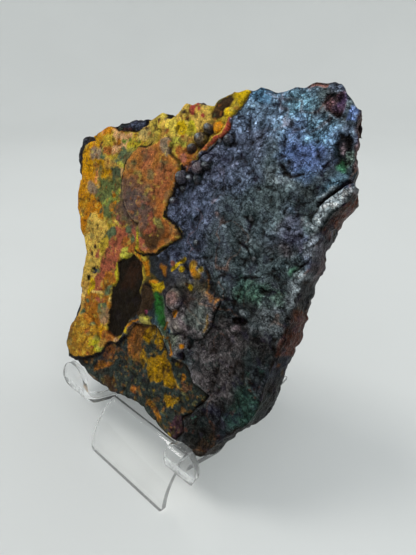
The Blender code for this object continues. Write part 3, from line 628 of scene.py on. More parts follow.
TOP_PATCHES = [
    block(Tone.STRAW, -30, 92, -10, 110, 1.6),
    block(Tone.PALE_YELLOW, -28, 97, -21, 104, 1.4),
    spot(Tone.RED, -19.5, 106.5, 1.8),
    spot(Tone.RED, -17.7, 108.6, 0.9),
    spot(Tone.RED, -16.6, 107.3, 0.8),
    spot(Tone.RED, -14.2, 105.3, 0.7),
    spot(Tone.RUST, -28, 98.5, 0.9),
    spot(Tone.RUST, -23, 97, 0.8),
    spot(Tone.RUST, -21, 98, 0.7),
    spot(Tone.DARK_BROWN, -22.7, 105.7, 0.9),
    spot(Tone.DARK_BROWN, -21, 103.5, 0.8),
    area(Tone.YELLOW, (-25, 100), (-24.5, 102.5), (-22.5, 103), (-20.5, 101.5), (-19.5, 99.5), (-22.5, 98)),
    area(
        Tone.YELLOW_GREEN, (-20, 103.5), (-17.5, 103), (-15.5, 101.5), (-15.5, 99.8), (-18, 98.3),
        (-20, 99.5),
    ),
    block(Tone.LIME, -24.4, 91.6, -17.6, 97.2, 1.2),
    block(Tone.RUST, -22.4, 87.6, -12.8, 95, 1.4),
    block(Tone.ROSE, -19.4, 88.6, -15.8, 91.6, 1),
    area(
        Tone.DARK_BROWN, (-10.3, 108), (-9.8, 110.5), (-8, 112.3), (-5.3, 113.3), (-3.8, 111.5),
        (-4.8, 109.5), (-6, 108.5), (-5.8, 106.5), (-6.5, 105.2), (-11, 105.3), (-11.5, 106.5),
    ),
    area(
        Tone.YELLOW, (-4.7, 114.6), (-2, 116), (0.5, 116), (1, 114), (-0.5, 112.5), (-1.3, 110), (-3, 107.5),
        (-3.8, 105.5), (-5, 106.5), (-6, 107.5), (-5.5, 109), (-4, 109.7), (-3.3, 111), (-4, 112.5),
    ),
    area(Tone.ORANGE, (-9.5, 104), (-6, 104.5), (-4.5, 103), (-4.7, 101), (-7.5, 100), (-8.8, 101.5)),
    streak(
        Tone.RED, 1.2, (-3, 105.5), (-2.6, 102.5), (-3.6, 100.4), (-6.5, 98.5), (-9, 95.5), (-11, 93.8),
        (-12.5, 92),
    ),
    # Painted shadow: a black line along the crack's edge.
    streak(
        Tone.INK, 0.7, (1.4, 114.5), (1.2, 112), (-0.4, 109.6), (-1.8, 106.6), (-1.4, 103), (-2.2, 100.6),
        (-5.2, 97.8), (-7.8, 94.8), (-10.8, 91.4),
    ),
    block(Tone.DARK_BROWN, -11.4, 99.6, -8.6, 103.2, 0.7, 0.6),
]

# Round beads: their middles and their radii.
BEAD_PLACES = [
    (-10.5, 101.7, 1.8), (-12.2, 97.8, 2.4), (-15.7, 94.7, 1.5), (-1.2, 99.6, 1.5), (-6.8, 90, 1.3),
    (-15.6, 84.5, 2.3), (-9, 85, 1.5), (-9.8, 88.4, 2.1), (-12.2, 85, 1), (-14.1, 81, 1.1),
    (-16.8, 76.2, 1.2), (-4.7, 98.2, 0.9), (-2.4, 65.1, 0.8), (15.1, 78, 0.9), (20.6, 67.1, 0.8),
]


def bead_shade_and_highlight(across: float, along: float, radius: float) -> list[Patch]:
    """A bead: a painted shadow at its foot, its grey body, and a painted highlight on its upper left."""
    return [
        spot(Tone.INK, across + 0.15 * radius, along - 0.2 * radius, radius + 0.35, 0.8, 0.75),
        spot(Tone.GREY_MAUVE, across, along, 0.85 * radius, 0.6, 0.6),
        spot(Tone.SILVER, across - 0.25 * radius, along + 0.3 * radius, 0.3 + 0.25 * radius, 0.5, 0.8),
    ]


# Each bead with its painted shadow and highlight, and a pinkish tint over one of them.
BEADS = [patch for place in BEAD_PLACES for patch in bead_shade_and_highlight(*place)] + [
    spot(Tone.PINK_SILVER, -9.8, 88.6, 1.6, 1.2, 0.55),
]

# The dark patch left of the middle and the coloured slivers round it.
MIDDLE_PATCHES = [
    block(Tone.OLIVE_BLACK, -21, 34, -8.6, 56, 2.4, 0.8),
    block(Tone.OLIVE_BLACK, -10, 46, 5, 55, 3.4, 0.45),
    Patch(Tone.PEAT, BROWN_PATCH, 0, 0.6, 0.6),
    block(Tone.RED_PEAT, -30.6, 39, -23, 52, 2),
    block(Tone.DARK_BROWN, -20.6, 33.4, -13.6, 44.6, 1.6),
    area(
        Tone.ORANGE, (-28, 55.5), (-26.5, 56), (-25.5, 54.5), (-24.5, 53), (-24.2, 51.3), (-25.5, 52),
        (-27.5, 54),
    ),
    area(
        Tone.ORANGE, (-24, 51.5), (-22, 52.3), (-20.5, 51.9), (-19.3, 50), (-18.8, 48.3), (-20, 47),
        (-21, 48.5), (-21.8, 50.3),
    ),
    area(Tone.ORANGE, (-22, 53), (-20.4, 52.6), (-18.6, 47.2), (-20, 47)),
    area(Tone.YELLOW, (-18, 45), (-14, 46.8), (-12, 48.4), (-9.3, 47.2), (-11, 44.8), (-14.5, 43.3)),
    streak(Tone.ORANGE, 0.9, (-18, 45.5), (-16, 46.6), (-14, 47.2)),
    streak(Tone.INK, 0.6, (-19.5, 44.2), (-17, 44), (-15, 44.4)),
    block(Tone.ORANGE, -14, 51, -11.2, 53.8, 1.2, 0.8),
    spot(Tone.ROSE, -9, 55.5, 1),
    streak(Tone.YELLOW, 1.3, (-8.5, 53.5), (-6.6, 56.4), (-5.2, 58.5)),
    spot(Tone.YELLOW, -5, 55, 1),
    spot(Tone.DEEP_YELLOW, -0.8, 57.4, 1.8, 0.9, 0.9),
    spot(Tone.DEEP_YELLOW, 1.6, 55.4, 1.5, 0.9, 0.8),
    spot(Tone.YELLOW, 2.8, 57.6, 0.9, 0.7, 0.8),
    spot(Tone.ORANGE, 0.2, 56, 1.3, 0.9, 0.8),
    spot(Tone.BROWN, -0.2, 58.6, 0.8, 0.7, 0.7),
    spot(Tone.YELLOW, 0.5, 50.5, 1.1),
    spot(Tone.BROWN, -1, 51, 0.8),
    streak(Tone.ORANGE, 1.1, (4, 57), (6.5, 53.5), (9.5, 50.9), (12, 51), soft=0.9, ragged=1.4, share=0.55),
    area(
        Tone.LEAF_GREEN, (-14.6, 43.4), (-11, 44.4), (-8, 44.4), (-6.6, 40), (-4.4, 36), (-5.6, 33.2),
        (-8.4, 33), (-10, 35), (-12.4, 39), soft=2.6, ragged=1.2, share=0.9,
    ),
    spot(Tone.MAGENTA, -15, 35.4, 0.7),
    block(Tone.PALE_OLIVE, -18, 30.4, -12.4, 34.8, 0.9),
    block(Tone.LIME, -15.2, 32.8, -13.2, 34.2, 0.6, 0.7),
    spot(Tone.ROSE, -4.3, 44.8, 2.6, 1.8, 0.2),
    block(Tone.PINK_SILVER, -5, 34.6, 5.4, 41.4, 2.6, 0.4),
    block(Tone.GREEN_SILVER, 3, 40, 11.6, 48, 3, 0.35),
    streak(Tone.DEEP_YELLOW, 0.7, (11.2, 45), (11.5, 42), (11.3, 39.6), share=0.5),
    streak(Tone.ORANGE, 0.8, (-5.5, 33), (-3.8, 36.3)),
    streak(Tone.ORANGE, 0.8, (-2, 31), (-3.6, 30.4)),
    streak(Tone.ORANGE, 0.9, (-1.3, 30), (0.3, 29), (1.6, 26.4), (0.6, 25.2)),
    spot(Tone.ORANGE, 4.8, 31.2, 0.9),
    spot(Tone.ORANGE, -1.8, 40.2, 1.3),
    spot(Tone.TEAL_BLUE, -2.5, 33.5, 1),
]

LOWER_PATCHES = [
    Patch(Tone.BASE_SLATE, LOWER_BASE, 0, 0.8, 0.5),
    block(Tone.RUST, -31.4, 11.6, -24.6, 17.2, 1, 0.8),
    area(
        Tone.ORANGE_BROWN, (-33, 5), (-31, 8.8), (-29, 9.5), (-27.5, 9), (-25, 10.7), (-26, 8.5), (-29, 6.2),
        (-31.5, 3.5),
    ),
    block(Tone.BROWN, -26.4, 1.2, -18.6, 5.4, 1.2),
    block(Tone.TAUPE, -34.4, -1, -28.6, 1.4, 0.8),
    block(Tone.OLIVE_BLACK, -48.6, 0.4, -36, 5, 1.2),
    block(Tone.ORANGE_BROWN, -20.6, 15.6, -12.6, 30.4, 1.4, 0.75),
    block(Tone.RUST, -20.3, 17.8, -15.8, 20.2, 0.9),
    block(Tone.RUST, -19.4, 20.8, -17.6, 27.2, 0.8, 0.8),
    block(Tone.RUST, -12.2, 5.4, -9.6, 7.8, 0.9, 0.8),
    block(Tone.BROWN, -31.9, 4, -26.6, 14.4, 1.2, 0.35),
    block(Tone.DEEP_YELLOW, -13.8, 24.4, -9.6, 31.4, 0.9),
    block(Tone.DEEP_YELLOW, -8.8, 26.2, -5.2, 31.4, 0.9),
    block(Tone.DEEP_YELLOW, -12.2, 15.6, -10.2, 22.4, 0.8),
    block(Tone.YELLOW, -22.9, 24.6, -21.3, 27, 0.6),
    streak(Tone.ORANGE, 0.7, (-22, 26.5), (-20.5, 30), (-18, 31.3)),
    area(
        Tone.DEEP_YELLOW, (-3.5, 26.5), (-1.5, 23.5), (2.5, 20), (7.5, 16.5), (3, 14), (-4, 13.5), (-7, 15),
        (-10, 18), (-12, 18.5), (-11.5, 21.5), (-9, 20), (-7.5, 22.5), (-5, 25.5), soft=0.8, ragged=1.6,
    ),
    area(Tone.DEEP_YELLOW, (2.8, 10.5), (4.5, 7.5), (7.5, 8.5), (8.5, 11), (7.5, 13), (5, 12), ragged=1.4),
    streak(Tone.ORANGE, 1.8, (-3, 6), (0.5, 5), (4, 3), share=0.8),
    spot(Tone.ORANGE, 8, 21, 1),
    spot(Tone.RUST, -11, 6.5, 1.3),
    spot(Tone.RUST, -28, 14, 1.2),
    spot(Tone.RUST, -27, 9, 0.9),
    spot(Tone.YELLOW, 11, 3.5, 0.8),
    spot(Tone.YELLOW, 10, 0.6, 0.8),
    area(Tone.PLUM, (9, 3), (10, 8), (12.6, 9), (15, 4.5), (13.5, 0.5), (10.4, 0.6)),
    spot(Tone.OLIVE_YELLOW, 3.4, 23.4, 0.7),
    spot(Tone.OLIVE_YELLOW, -2.6, 10.6, 0.6),
    spot(Tone.OLIVE_YELLOW, 11.6, 15.2, 0.6),
]

# The dark metallic field: broad coloured sheens, then its marked spots.
FIELD_PATCHES = [
    block(Tone.VIOLET_SLATE, -22, 56, 8, 104, 9, 0.85),
    block(Tone.TEAL_SLATE, 2, 58, 26, 100, 9, 0.8),
    block(Tone.OLIVE_BLACK, 12, -4, 40, 56, 9, 0.8),
    Patch(Tone.GREY_MAUVE, LOBE, 0, 2, 0.8, 0.8),
    block(Tone.GREEN_GREY, -8, 28, 4, 40, 3, 0.5),
    block(Tone.OLIVE, -6, 49, 8, 54, 2.4, 0.4),
    block(Tone.SKY_SLATE, -2, 103, 24, 118, 5, 0.85),
    area(
        Tone.TEAL_BLUE, (1.6, 113), (4, 111.6), (9.4, 112), (9.6, 116), (4, 117), (1.6, 115), soft=2,
        share=0.7,
    ),
    area(
        Tone.CYAN, (14.6, 112), (17, 109), (24, 109), (24.6, 114), (20, 116.4), (15, 116), soft=4, share=0.6,
    ),
    block(Tone.BLUE_SLATE, -4, 84, 14, 108, 6, 0.6),
    block(Tone.BLUE, 19, 95.4, 31, 108.2, 9, 0.78),
    block(Tone.GREY_MAUVE, 8, 20, 27, 44, 6, 0.75),
    block(Tone.PEAT, 10, -3, 27, 15, 5, 0.6),
    block(Tone.SKY_SLATE, 20.6, 102, 28, 110, 3, 0.5),
    block(Tone.CYAN, 24, 102, 32.2, 111, 6, 0.55),
    block(Tone.BLUE_SLATE, -20, 50, 0, 84, 6, 0.6),
    Patch(Tone.BRONZE, BRONZE_FACET, 0, 0.8, 0.4, 0.9),
    block(Tone.VIOLET, 28.6, 112.4, 32, 116, 1.4, 0.5),
    streak(Tone.ROSE, 1.6, (20, 118), (22.6, 118.8), (24.6, 118.8), share=0.6),
    area(Tone.BLUE, (33.6, 110.2), (36.6, 110.2), (36.6, 113.4), (34, 113.8), soft=0.8, share=0.7),
    # Painted shade in the hollow at the edge.
    Patch(Tone.INK, EDGE_HOLLOW, 0, 1.4, 0.6, 0.8),
    block(Tone.GREEN_SILVER, 37, 98.6, 39.4, 103, 1.2, 0.7),
    block(Tone.BRIGHT_GREEN, 35, 97, 38, 100, 1, 0.6),
    block(Tone.PINK_SILVER, 34.4, 101, 36.4, 104.2, 0.9, 0.5),
    block(Tone.PALE_GREEN, 18.2, 54.8, 28.4, 61.4, 4, 0.42),
    block(Tone.BRIGHT_GREEN, 28.6, 55.6, 35, 60, 2, 0.5),
    spot(Tone.BRIGHT_GREEN, 34, 67.5, 1.6, 1.6, 0.5),
    block(Tone.TEAL_GREEN, 27.4, 14.6, 39.4, 29, 4, 0.5),
    block(Tone.RED_BROWN, 36.6, 43.6, 41.4, 58.4, 1.6, 0.7),
    block(Tone.BLUE_SLATE, 39.6, 49.6, 42.6, 62.4, 1.2, 0.7),
    area(
        Tone.RED_BROWN, (44, 91), (43, 86.5), (41.5, 83.6), (40.3, 81), (38.8, 83), (39.4, 86.6),
        (41.6, 89.6), soft=0.8, share=0.9,
    ),
    streak(
        Tone.SILVER, 3.6, (42.6, 93.2), (39.6, 90.2), (36.8, 86.8), (35.8, 83), soft=1.4, ragged=1.6,
        share=0.7,
    ),
    # Painted shade in the ledge's wrinkles, and its painted shadow below and to the right.
    streak(Tone.INK, 0.5, (39.8, 92), (38.6, 89.8), soft=0.8, share=0.7),
    streak(Tone.INK, 0.6, (38.2, 88.8), (36, 87), soft=0.8, share=0.7),
    streak(Tone.INK, 0.6, (37.2, 85.4), (35.2, 84.8), soft=0.8, share=0.8),
    streak(Tone.INK, 1.8, (44, 91.4), (41.4, 88.2), (39, 84.6), (37.6, 81), soft=1, ragged=0.8, share=0.9),
    block(Tone.SILVER, 35.6, 72, 38.8, 80, 1.4, 0.5),
    block(Tone.SILVER, 33.6, 57.6, 38.4, 68, 2.4, 0.75),
    streak(Tone.INK, 0.7, (38.2, 66.4), (36, 64.6), (34.4, 65.2), soft=0.8, share=0.8),
    streak(Tone.INK, 0.6, (37.8, 61.8), (35.8, 61), (34.2, 59), soft=0.8, share=0.8),
    streak(Tone.RED_BROWN, 1.4, (37.6, 112), (39.6, 105), (41, 98.6), soft=1.2, ragged=0.8, share=0.6),
    streak(Tone.PINK_SILVER, 0.9, (38.2, 110), (39.8, 104), (41.2, 99), soft=0.8, ragged=0.8, share=0.45),
    block(Tone.SILVER, 26.6, 47.6, 36.6, 60, 5, 0.3),
    block(Tone.PINK_SILVER, 38, 65.6, 42.2, 73.4, 1.2, 0.6),
    block(Tone.DARK_BROWN, 22.6, -0.6, 28.4, 8.4, 1.2, 0.8),
    streak(Tone.SILVER, 2.2, (16, 92), (20, 90.6), (25.5, 91.4), soft=3, share=0.15),
    Patch(Tone.PINK_SILVER, [(21, 44.8), (23.4, 45.6)], 1.4, 1.2, 0.6, 0.35),
    Patch(Tone.SILVER, [(21.2, 50.2), (24.4, 51.2)], 1.4, 1.2, 0.6, 0.35),
]

RIM_PATCHES = [Patch(Tone.SLATE, rim, 0, 0.6, 0.5) for rim in SLATE_RIMS] + [
    block(Tone.BROWN, -71.2, 88.2, -69.2, 90.2, 0.8),
    spot(Tone.BLUE_SLATE, -69.5, 88.7, 0.8),
    block(Tone.BLUE_SLATE, -50, 96.6, -41, 100.6, 1.4, 0.7),
    block(Tone.GREEN_GREY, -55.2, 94.6, -51.8, 96.2, 0.8, 0.8),
    block(Tone.RED_BROWN, -52, 95.2, -47.6, 96.6, 0.8, 0.8),
]

# Stains and darker patches on the broken rim, right of the face.
RIM_TONES = [
    block(Tone.INK, 22, -5, 42, 42, 5, 0.6),
    block(Tone.INK, 33, 57, 46, 80, 3, 0.65),
    block(Tone.RED_BROWN, 36, 80, 46, 91.4, 1.4, 0.85),
    block(Tone.RED_BROWN, 34, 43, 44, 57.6, 1.6, 0.8),
    block(Tone.PINK_SILVER, 35, 66, 44, 79, 1.8, 0.14),
    block(Tone.RED_BROWN, 34, 96, 44, 113, 1.8, 0.6),
    block(Tone.OLIVE_BLACK, 14, -3, 38, 41, 3, 0.75),
    block(Tone.INK, 34, 57.8, 44, 65, 2, 0.6),
    streak(Tone.BROWN, 3, (-48, 96), (-20, 108), (0, 115), soft=2, share=0.4),
]

# Black lines where one layer ends in a step over the next.
SHADOW_LINES = [
    streak(
        Tone.INK, 0.9, (-34, 93), (-36, 91), (-39, 91), (-40.5, 89.5), (-42, 87.5), (-43.5, 85),
        (-44.3, 82.5), (-44, 80), (-43, 78), (-43.5, 75.5), (-42, 73), (-40, 70), (-37, 67.5), share=0.9,
    ),
    streak(
        Tone.INK, 1.1, (-17.2, 88), (-16.6, 84.6), (-17.2, 80.6), (-18.2, 76), (-18, 73), (-17, 70.5),
        (-15.6, 69.4), (-12, 68.8), (-8.6, 65),
    ),
    streak(
        Tone.INK, 1, (-28.6, 54.6), (-26, 54.6), (-23, 54.2), (-20, 55.2), (-16.6, 56.6), (-14.8, 59.2),
        (-12, 61.6), (-9, 64.2),
    ),
    streak(
        Tone.INK, 1.1, *reversed(CRUST_FOOT), (-30.5, 16), (-28, 17.2), (-25.5, 17.8), (-23.5, 20),
        (-22, 23),
    ),
    streak(Tone.INK, 0.7, (-24, 94.6), (-24, 91.4), (-22, 90.2), (-18.6, 88.6), share=0.7),
    streak(
        Tone.INK, 0.7, (-65.8, 92.2), (-66.8, 89.2), (-71, 87.2), (-72.4, 82), (-71.2, 78), (-70.4, 73),
        share=0.7,
    ),
    streak(Tone.INK, 0.6, (-57.4, 96), (-54, 94.9), (-48, 95.3), (-42, 96.2), (-39.4, 98.6), share=0.6),
    streak(Tone.INK, 0.8, *LOWER_CRACK, share=0.9),
    streak(
        Tone.INK, 0.8, (13.6, 50.6), (13.1, 46.4), (13, 42), (11.6, 37.2), (7.6, 35.2), (6.8, 31), (5, 26.6),
        share=0.5,
    ),
    streak(Tone.INK, 0.8, *LEDGE_CRACK, share=0.85),
    streak(Tone.INK, 1.5, (19.6, 46.8), (22, 47.6), (24.4, 48.6), soft=1.2, ragged=0.8, share=0.85),
    streak(Tone.INK, 1.1, *HOLLOW_CRACK, soft=1.8, share=0.7),
    streak(Tone.INK, 0.8, (-9.4, 49), (-8.8, 45), (-6.8, 41.6), (-5, 37.6), (-3, 33), (-0.6, 29), share=0.6),
    spot(Tone.INK, 5.2, 27.6, 1.4, 0.9),
]


@dataclass(frozen=True)
class Film:
    """One tone in drifting flecks, which begin where the noise passes start and are full a span above."""

    tone: Tone
    size: float
    seed: int
    start: float
    span: float
    share: float = 1.0
    layers: int = 3

    def lay(self, colour: Array, places: Array, where: Array | float = 1.0) -> None:
        """Mixes the flecks over colours.

        Args:
            colour: The colours, changed in place.
            places: Where they are, three numbers each.
            where: How much of the flecks shows at each place, from 0 to 1.
        """
        noise = layered_noise(places, self.size, self.seed, self.layers)
        mix_over(colour, self.tone, self.share * rise(noise, self.start, self.span) * where)


# Broad soft sheens of violet, blue, teal and bronze over the dark field.
SHEENS = [
    Film(Tone.VIOLET, 15.0, 71, 0.08, 0.4, 0.45),
    Film(Tone.TEAL_BLUE, 12.0, 75, 0.08, 0.4, 0.40),
    Film(Tone.BRONZE, 9.0, 79, 0.08, 0.4, 0.35),
    Film(Tone.BLUE_SLATE, 7.0, 83, 0.08, 0.4, 0.55),
    Film(Tone.OLIVE_BLACK, 10.0, 87, 0.08, 0.4, 0.60),
]

# Specks low on the right of the dark field: rusty ones, and green ones between them.
FIELD_SPECKS = [
    Film(Tone.RED_BROWN, 1.1, 117, 0.62, 0.12, 0.7, 1),
    Film(Tone.TEAL_GREEN, 1.1, 117, 0.62, 0.12, 0.7, 1),
]

# The crust's darker, paler and redder flecks, then its dark pepper.
CRUST_FLECKS = [
    Film(Tone.BROWN, 2.6, 91, 0.36, 0.16, 0.45, 2),
    Film(Tone.PALE_YELLOW, 1.8, 95, 0.42, 0.16, 0.40, 2),
    Film(Tone.GREEN_GREY, 3.2, 99, 0.40, 0.16, 0.45, 2),
    Film(Tone.RUST, 1.5, 103, 0.38, 0.16, 0.55, 2),
    Film(Tone.DARK_BROWN, 1.2, 109, 0.55, 0.15, 0.55, 1),
]

# Dark grains that break up the lower part's coloured spots, and the coloured grains strewn over it.
LOWER_GRAIN = Film(Tone.OLIVE_BLACK, 1.6, 113, 0.02, 0.2, 0.30, 2)
LOWER_SPECKS = [
    Film(Tone.ORANGE, 1.1, 127, 0.42, 0.2, 0.36, 1),
    Film(Tone.RUST, 1.7, 129, 0.42, 0.2, 0.36, 1),
    Film(Tone.PALE_OLIVE, 1.0, 133, 0.42, 0.2, 0.36, 1),
]

# Rust, ochre and dark stains of the broken rim and back.
BROKEN_STAINS = [
    Film(Tone.DARK_BROWN, 16.0, 161, 0.0, 0.5, 0.8),
    Film(Tone.BASE_SLATE, 10.0, 165, 0.05, 0.4, 0.6),
    Film(Tone.RED_BROWN, 7.0, 169, 0.02, 0.3, 0.8),
    Film(Tone.RUST, 3.2, 173, 0.30, 0.2, 0.55),
    Film(Tone.PINK_SILVER, 1.8, 175, 0.34, 0.2, 0.35),
    Film(Tone.TAN, 2.6, 177, 0.42, 0.16, 0.45),
    Film(Tone.INK, 3.4, 181, 0.06, 0.3, 0.8),
]


@dataclass
class FacePaint:
    """The colours of the stone's face, laid on its points one patch over another.

    It starts from the bare dark rock. The drift moves the noise that makes borders ragged. Each step below is
    where a change begins, in millimetres up the slope or across, and how far it takes.
    """

    places: Array
    drift: float = 0.0
    wander_waves: tuple[Pair, ...] = ((5.0, 1.1), (2.2, 0.7), (0.95, 0.45))
    wander_seeds: tuple[int, int] = (61, 66)
    field_light: float = 1.14
    upper_light: float = 0.70
    upper_step: Pair = (56.0, 26.0)
    vein_width: float = 0.05
    vein_share: float = 0.34
    low_step: Pair = (52.0, -20.0)
    right_step: Pair = (2.0, 8.0)
    crust_light: float = -0.04
    crust_top_light: float = 0.11
    crust_spread: float = 0.24
    crust_top_step: Pair = (62.0, 16.0)
    colour: Array = field(init=False)
    crust: Array = field(init=False)

    def __post_init__(self) -> None:
        """Lays the bare dark rock."""
        self.flat = at_level(self.places + self.drift)
        waves = [(step, *wave) for step, wave in enumerate(self.wander_waves)]
        shifts = [
            sum(strength * lattice_noise(self.flat, size, seed + step) for step, size, strength in waves)
            for seed in self.wander_seeds
        ]
        self.wander = np.column_stack(shifts)
        self.colour = np.tile(Tone.TEAL_SLATE.linear(), (len(self.places), 1))
        self.crust = np.zeros(len(self.places))

    def lay(self, patch: Patch, crusted: float | None = None) -> None:
        """Lays one patch.

        Args:
            patch: The patch.
            crusted: How earthy its surface is, from 0 to 1, or None to leave that as it is.
        """
        picked, cover = patch.cover(self.places, self.wander)
        tone = patch.tone.linear()
        self.colour[picked] += (tone - self.colour[picked]) * cover[:, None]
        if crusted is not None:
            self.crust[picked] += (crusted - self.crust[picked]) * cover

    def lay_all(self, patches: Iterable[Patch], crusted: float | None = None) -> None:
        """Lays patches in order."""
        for patch in patches:
            self.lay(patch, crusted)

    def shimmer(self) -> None:
        """Lets the sheens drift over the dark field."""
        for film in SHEENS:
            film.lay(self.colour, self.flat)

    def brighten(self) -> None:
        """Lightens the dark field's colours, and more towards the top."""
        upper = rise(self.places[:, 1], *self.upper_step)
        self.colour *= (self.field_light + self.upper_light * upper)[:, None]

    def veins(self) -> None:
        """Draws faint rusty creases over the dark field, and strews specks low on its right."""
        crease = 1.0 - np.abs(layered_noise(self.flat, 9.0, 111)) / self.vein_width
        patchy = rise(lattice_noise(self.flat, 14.0, 115), -0.1, 0.5)
        mix_over(self.colour, Tone.RUST, self.vein_share * np.clip(crease, 0.0, 1.0) * patchy)
        low = rise(self.places[:, 1], *self.low_step) * rise(self.places[:, 0], *self.right_step)
        for film, sign in zip(FIELD_SPECKS, (1.0, -1.0)):
            side = ease_step(sign * lattice_noise(self.flat, 6.0, 119) + 0.3)
            film.lay(self.colour, self.flat, low * side)

    def speckle(self) -> None:
        """Breaks the lower part's spots into grains of dark rock, and strews coloured ones over it."""
        below = ease_step(edge_distance(self.places + self.wander, LOWER_BASE) / 2.0)
        LOWER_GRAIN.lay(self.colour, self.flat, below)
        for film in LOWER_SPECKS:
            drift = rise(lattice_noise(self.flat, 9.0, film.seed + 1), -0.16, 0.4)
            film.lay(self.colour, self.flat, drift * below)

    def mottle(self) -> None:
        """Breaks the crust's fields into small flecks, and lights them unevenly."""
        for film in CRUST_FLECKS:
            film.lay(self.colour, self.flat, self.crust)
        top = rise(self.places[:, 1], *self.crust_top_step)
        uneven = self.crust_spread * layered_noise(self.flat, 5.0, 107)
        self.colour *= (1.0 + (self.crust_top_light * top + self.crust_light + uneven) * self.crust)[:, None]

    def paint(self) -> None:
        """Paints the whole face."""
        self.shimmer()
        self.lay_all(FIELD_PATCHES, crusted=0.0)
        self.brighten()
        self.veins()
        self.lay(area(Tone.OLIVE_YELLOW, *CRUST, soft=0.5), crusted=1.0)
        self.lay_all(CRUST_PATCHES)
        self.lay_all(TOP_PATCHES)
        self.lay_all(FLAKE_PATCHES, crusted=0.8)
        self.mottle()
        self.lay_all(LOWER_PATCHES, crusted=0.35)
        self.speckle()
        self.lay_all(MIDDLE_PATCHES, crusted=0.75)
        self.lay_all(RIM_PATCHES, crusted=0.15)
        self.lay_all(SHADOW_LINES)


def triangle_sides(faces: Array) -> Array:
    """Each triangle's sides, lower index first: all first sides, then all second, then all third."""
    return np.sort(np.vstack([faces[:, [0, 1]], faces[:, [1, 2]], faces[:, [2, 0]]]), axis=1)


@dataclass(frozen=True)
class PaintedReliefLight:
    """Paints shade into the hollows of the face and highlights onto what stands out, at three scales, and mixes
    brown into the valleys of bare rock.

    Rounds are how often heights are smoothed to find their surroundings. A strength that is a pair is the one
    on bare rock, and how much less it is on crust. A step is where a change begins and how far it takes. A
    hold is the range that a relief is kept in.
    """

    near_rounds: int = 6
    middle_rounds: int = 28
    far_rounds: int = 140
    hollow_shade: Pair = (0.74, 0.20)
    hollow_shade_step: Pair = (-0.15, -1.5)
    highlight_step: Pair = (0.15, 1.8)
    peak_step: Pair = (2.0, 1.2)
    # Painted highlights: silver mixed in and lighter on bare rock, pale straw on crust.
    silver_highlight: float = 0.05
    polish: float = 0.22
    straw_highlight: float = 0.12
    straw_above: float = 0.1
    valley: float = 0.22
    valley_step: Pair = (-0.5, -1.0)
    middle: Pair = (0.22, 0.13)
    middle_hold: Pair = (-1.7, 1.3)
    far: Pair = (0.25, 0.19)
    far_hold: Pair = (-1.7, 1.4)

    def standing_out(self, height: Array, faces: Array, rounds: int) -> Array:
        """How far each point stands out from what lies round it.

        Args:
            height: The height of each point.
            faces: The triangles that join the points.
            rounds: How many times the heights are smoothed to find their surroundings.

        Returns:
            A number for each point that spreads about 1 either side of 0.
        """
        first, second = np.unique(triangle_sides(faces), axis=0).T
        count = len(height)
        around = np.bincount(first, minlength=count) + np.bincount(second, minlength=count)
        level = height.copy()
        for _ in range(rounds):
            total = np.bincount(first, level[second], count) + np.bincount(second, level[first], count)
            level = 0.5 * level + 0.5 * total / around
        out = height - level
        return out / out.std()

    def apply(self, colour: Array, crust: Array, height: Array, faces: Array) -> None:
        """Paints the shade, the highlights and the brown valleys onto the face.

        Args:
            colour: The colours, changed in place.
            crust: How earthy each place is.
            height: The face's height at each point.
            faces: The face's triangles.
        """
        bare = 1.0 - crust
        near = self.standing_out(height, faces, self.near_rounds)
        middle = self.standing_out(height, faces, self.middle_rounds)
        far = self.standing_out(height, faces, self.far_rounds)
        # Where the painted highlights go: on rises, fading on the sharpest peaks.
        light = rise(near, *self.highlight_step) * (1.0 - rise(near, *self.peak_step))
        # Painted shade in the hollows, less of it on crust.
        colour *= (1.0 - rise(near, *self.hollow_shade_step) * (self.hollow_shade[0] - self.hollow_shade[1] * crust))[:, None]
        # Painted highlights: silver and lighter on bare rock, pale straw on the lighter crust.
        mix_over(colour, Tone.SILVER, self.silver_highlight * light * bare)
        colour *= (1.0 + self.polish * light * bare)[:, None]
        mix_over(colour, Tone.PALE_YELLOW, self.straw_highlight * light * crust * (colour[:, 0] > self.straw_above))
        mix_over(colour, Tone.BROWN, self.valley * (rise(middle, *self.valley_step) * bare))
        # Painted shading at the middle and far scales: lighter where the face rises, darker where it sinks.
        reliefs = ((middle, self.middle, self.middle_hold), (far, self.far, self.far_hold))
        for relief, (strength, less), hold in reliefs:
            colour *= (1.0 + (strength - less * crust) * np.clip(relief, *hold))[:, None]


# Shader nodes, their maths and the finishes.


@dataclass(frozen=True)
class Value:
    """A number that varies over a surface, with operators that add Math nodes."""

    kit: "NodeKit"
    socket: Socket

    def _math(self, operation: str, *terms: Any) -> "Value":
        """The result of one Math node on the terms."""
        node = self.kit.add("ShaderNodeMath", {"operation": operation}, dict(enumerate(terms)))
        return Value(self.kit, node.outputs[0])

    def __add__(self, other: Any) -> "Value":
        """The sum."""
        return self._math("ADD", self, other)

    def __radd__(self, other: Any) -> "Value":
        """The sum, the other term first."""
        return self._math("ADD", other, self)

    def __sub__(self, other: Any) -> "Value":
        """The difference."""
        return self._math("SUBTRACT", self, other)

    def __rsub__(self, other: Any) -> "Value":
        """The difference, the other term first."""
        return self._math("SUBTRACT", other, self)

    def __mul__(self, other: Any) -> "Value":
        """The product."""
        return self._math("MULTIPLY", self, other)

    def __rmul__(self, other: Any) -> "Value":
        """The product, the other term first."""
        return self._math("MULTIPLY", other, self)

    def __abs__(self) -> "Value":
        """The number without its sign."""
        return self._math("ABSOLUTE", self)

    def ramp(self, start: float, end: float) -> "Value":
        """From 0 at start to 1 at end, held between them."""
        sockets = {0: self, 1: start, 2: end, 3: 0.0, 4: 1.0}
        node = self.kit.add("ShaderNodeMapRange", {"interpolation_type": "SMOOTHSTEP"}, sockets)
        return Value(self.kit, node.outputs[0])


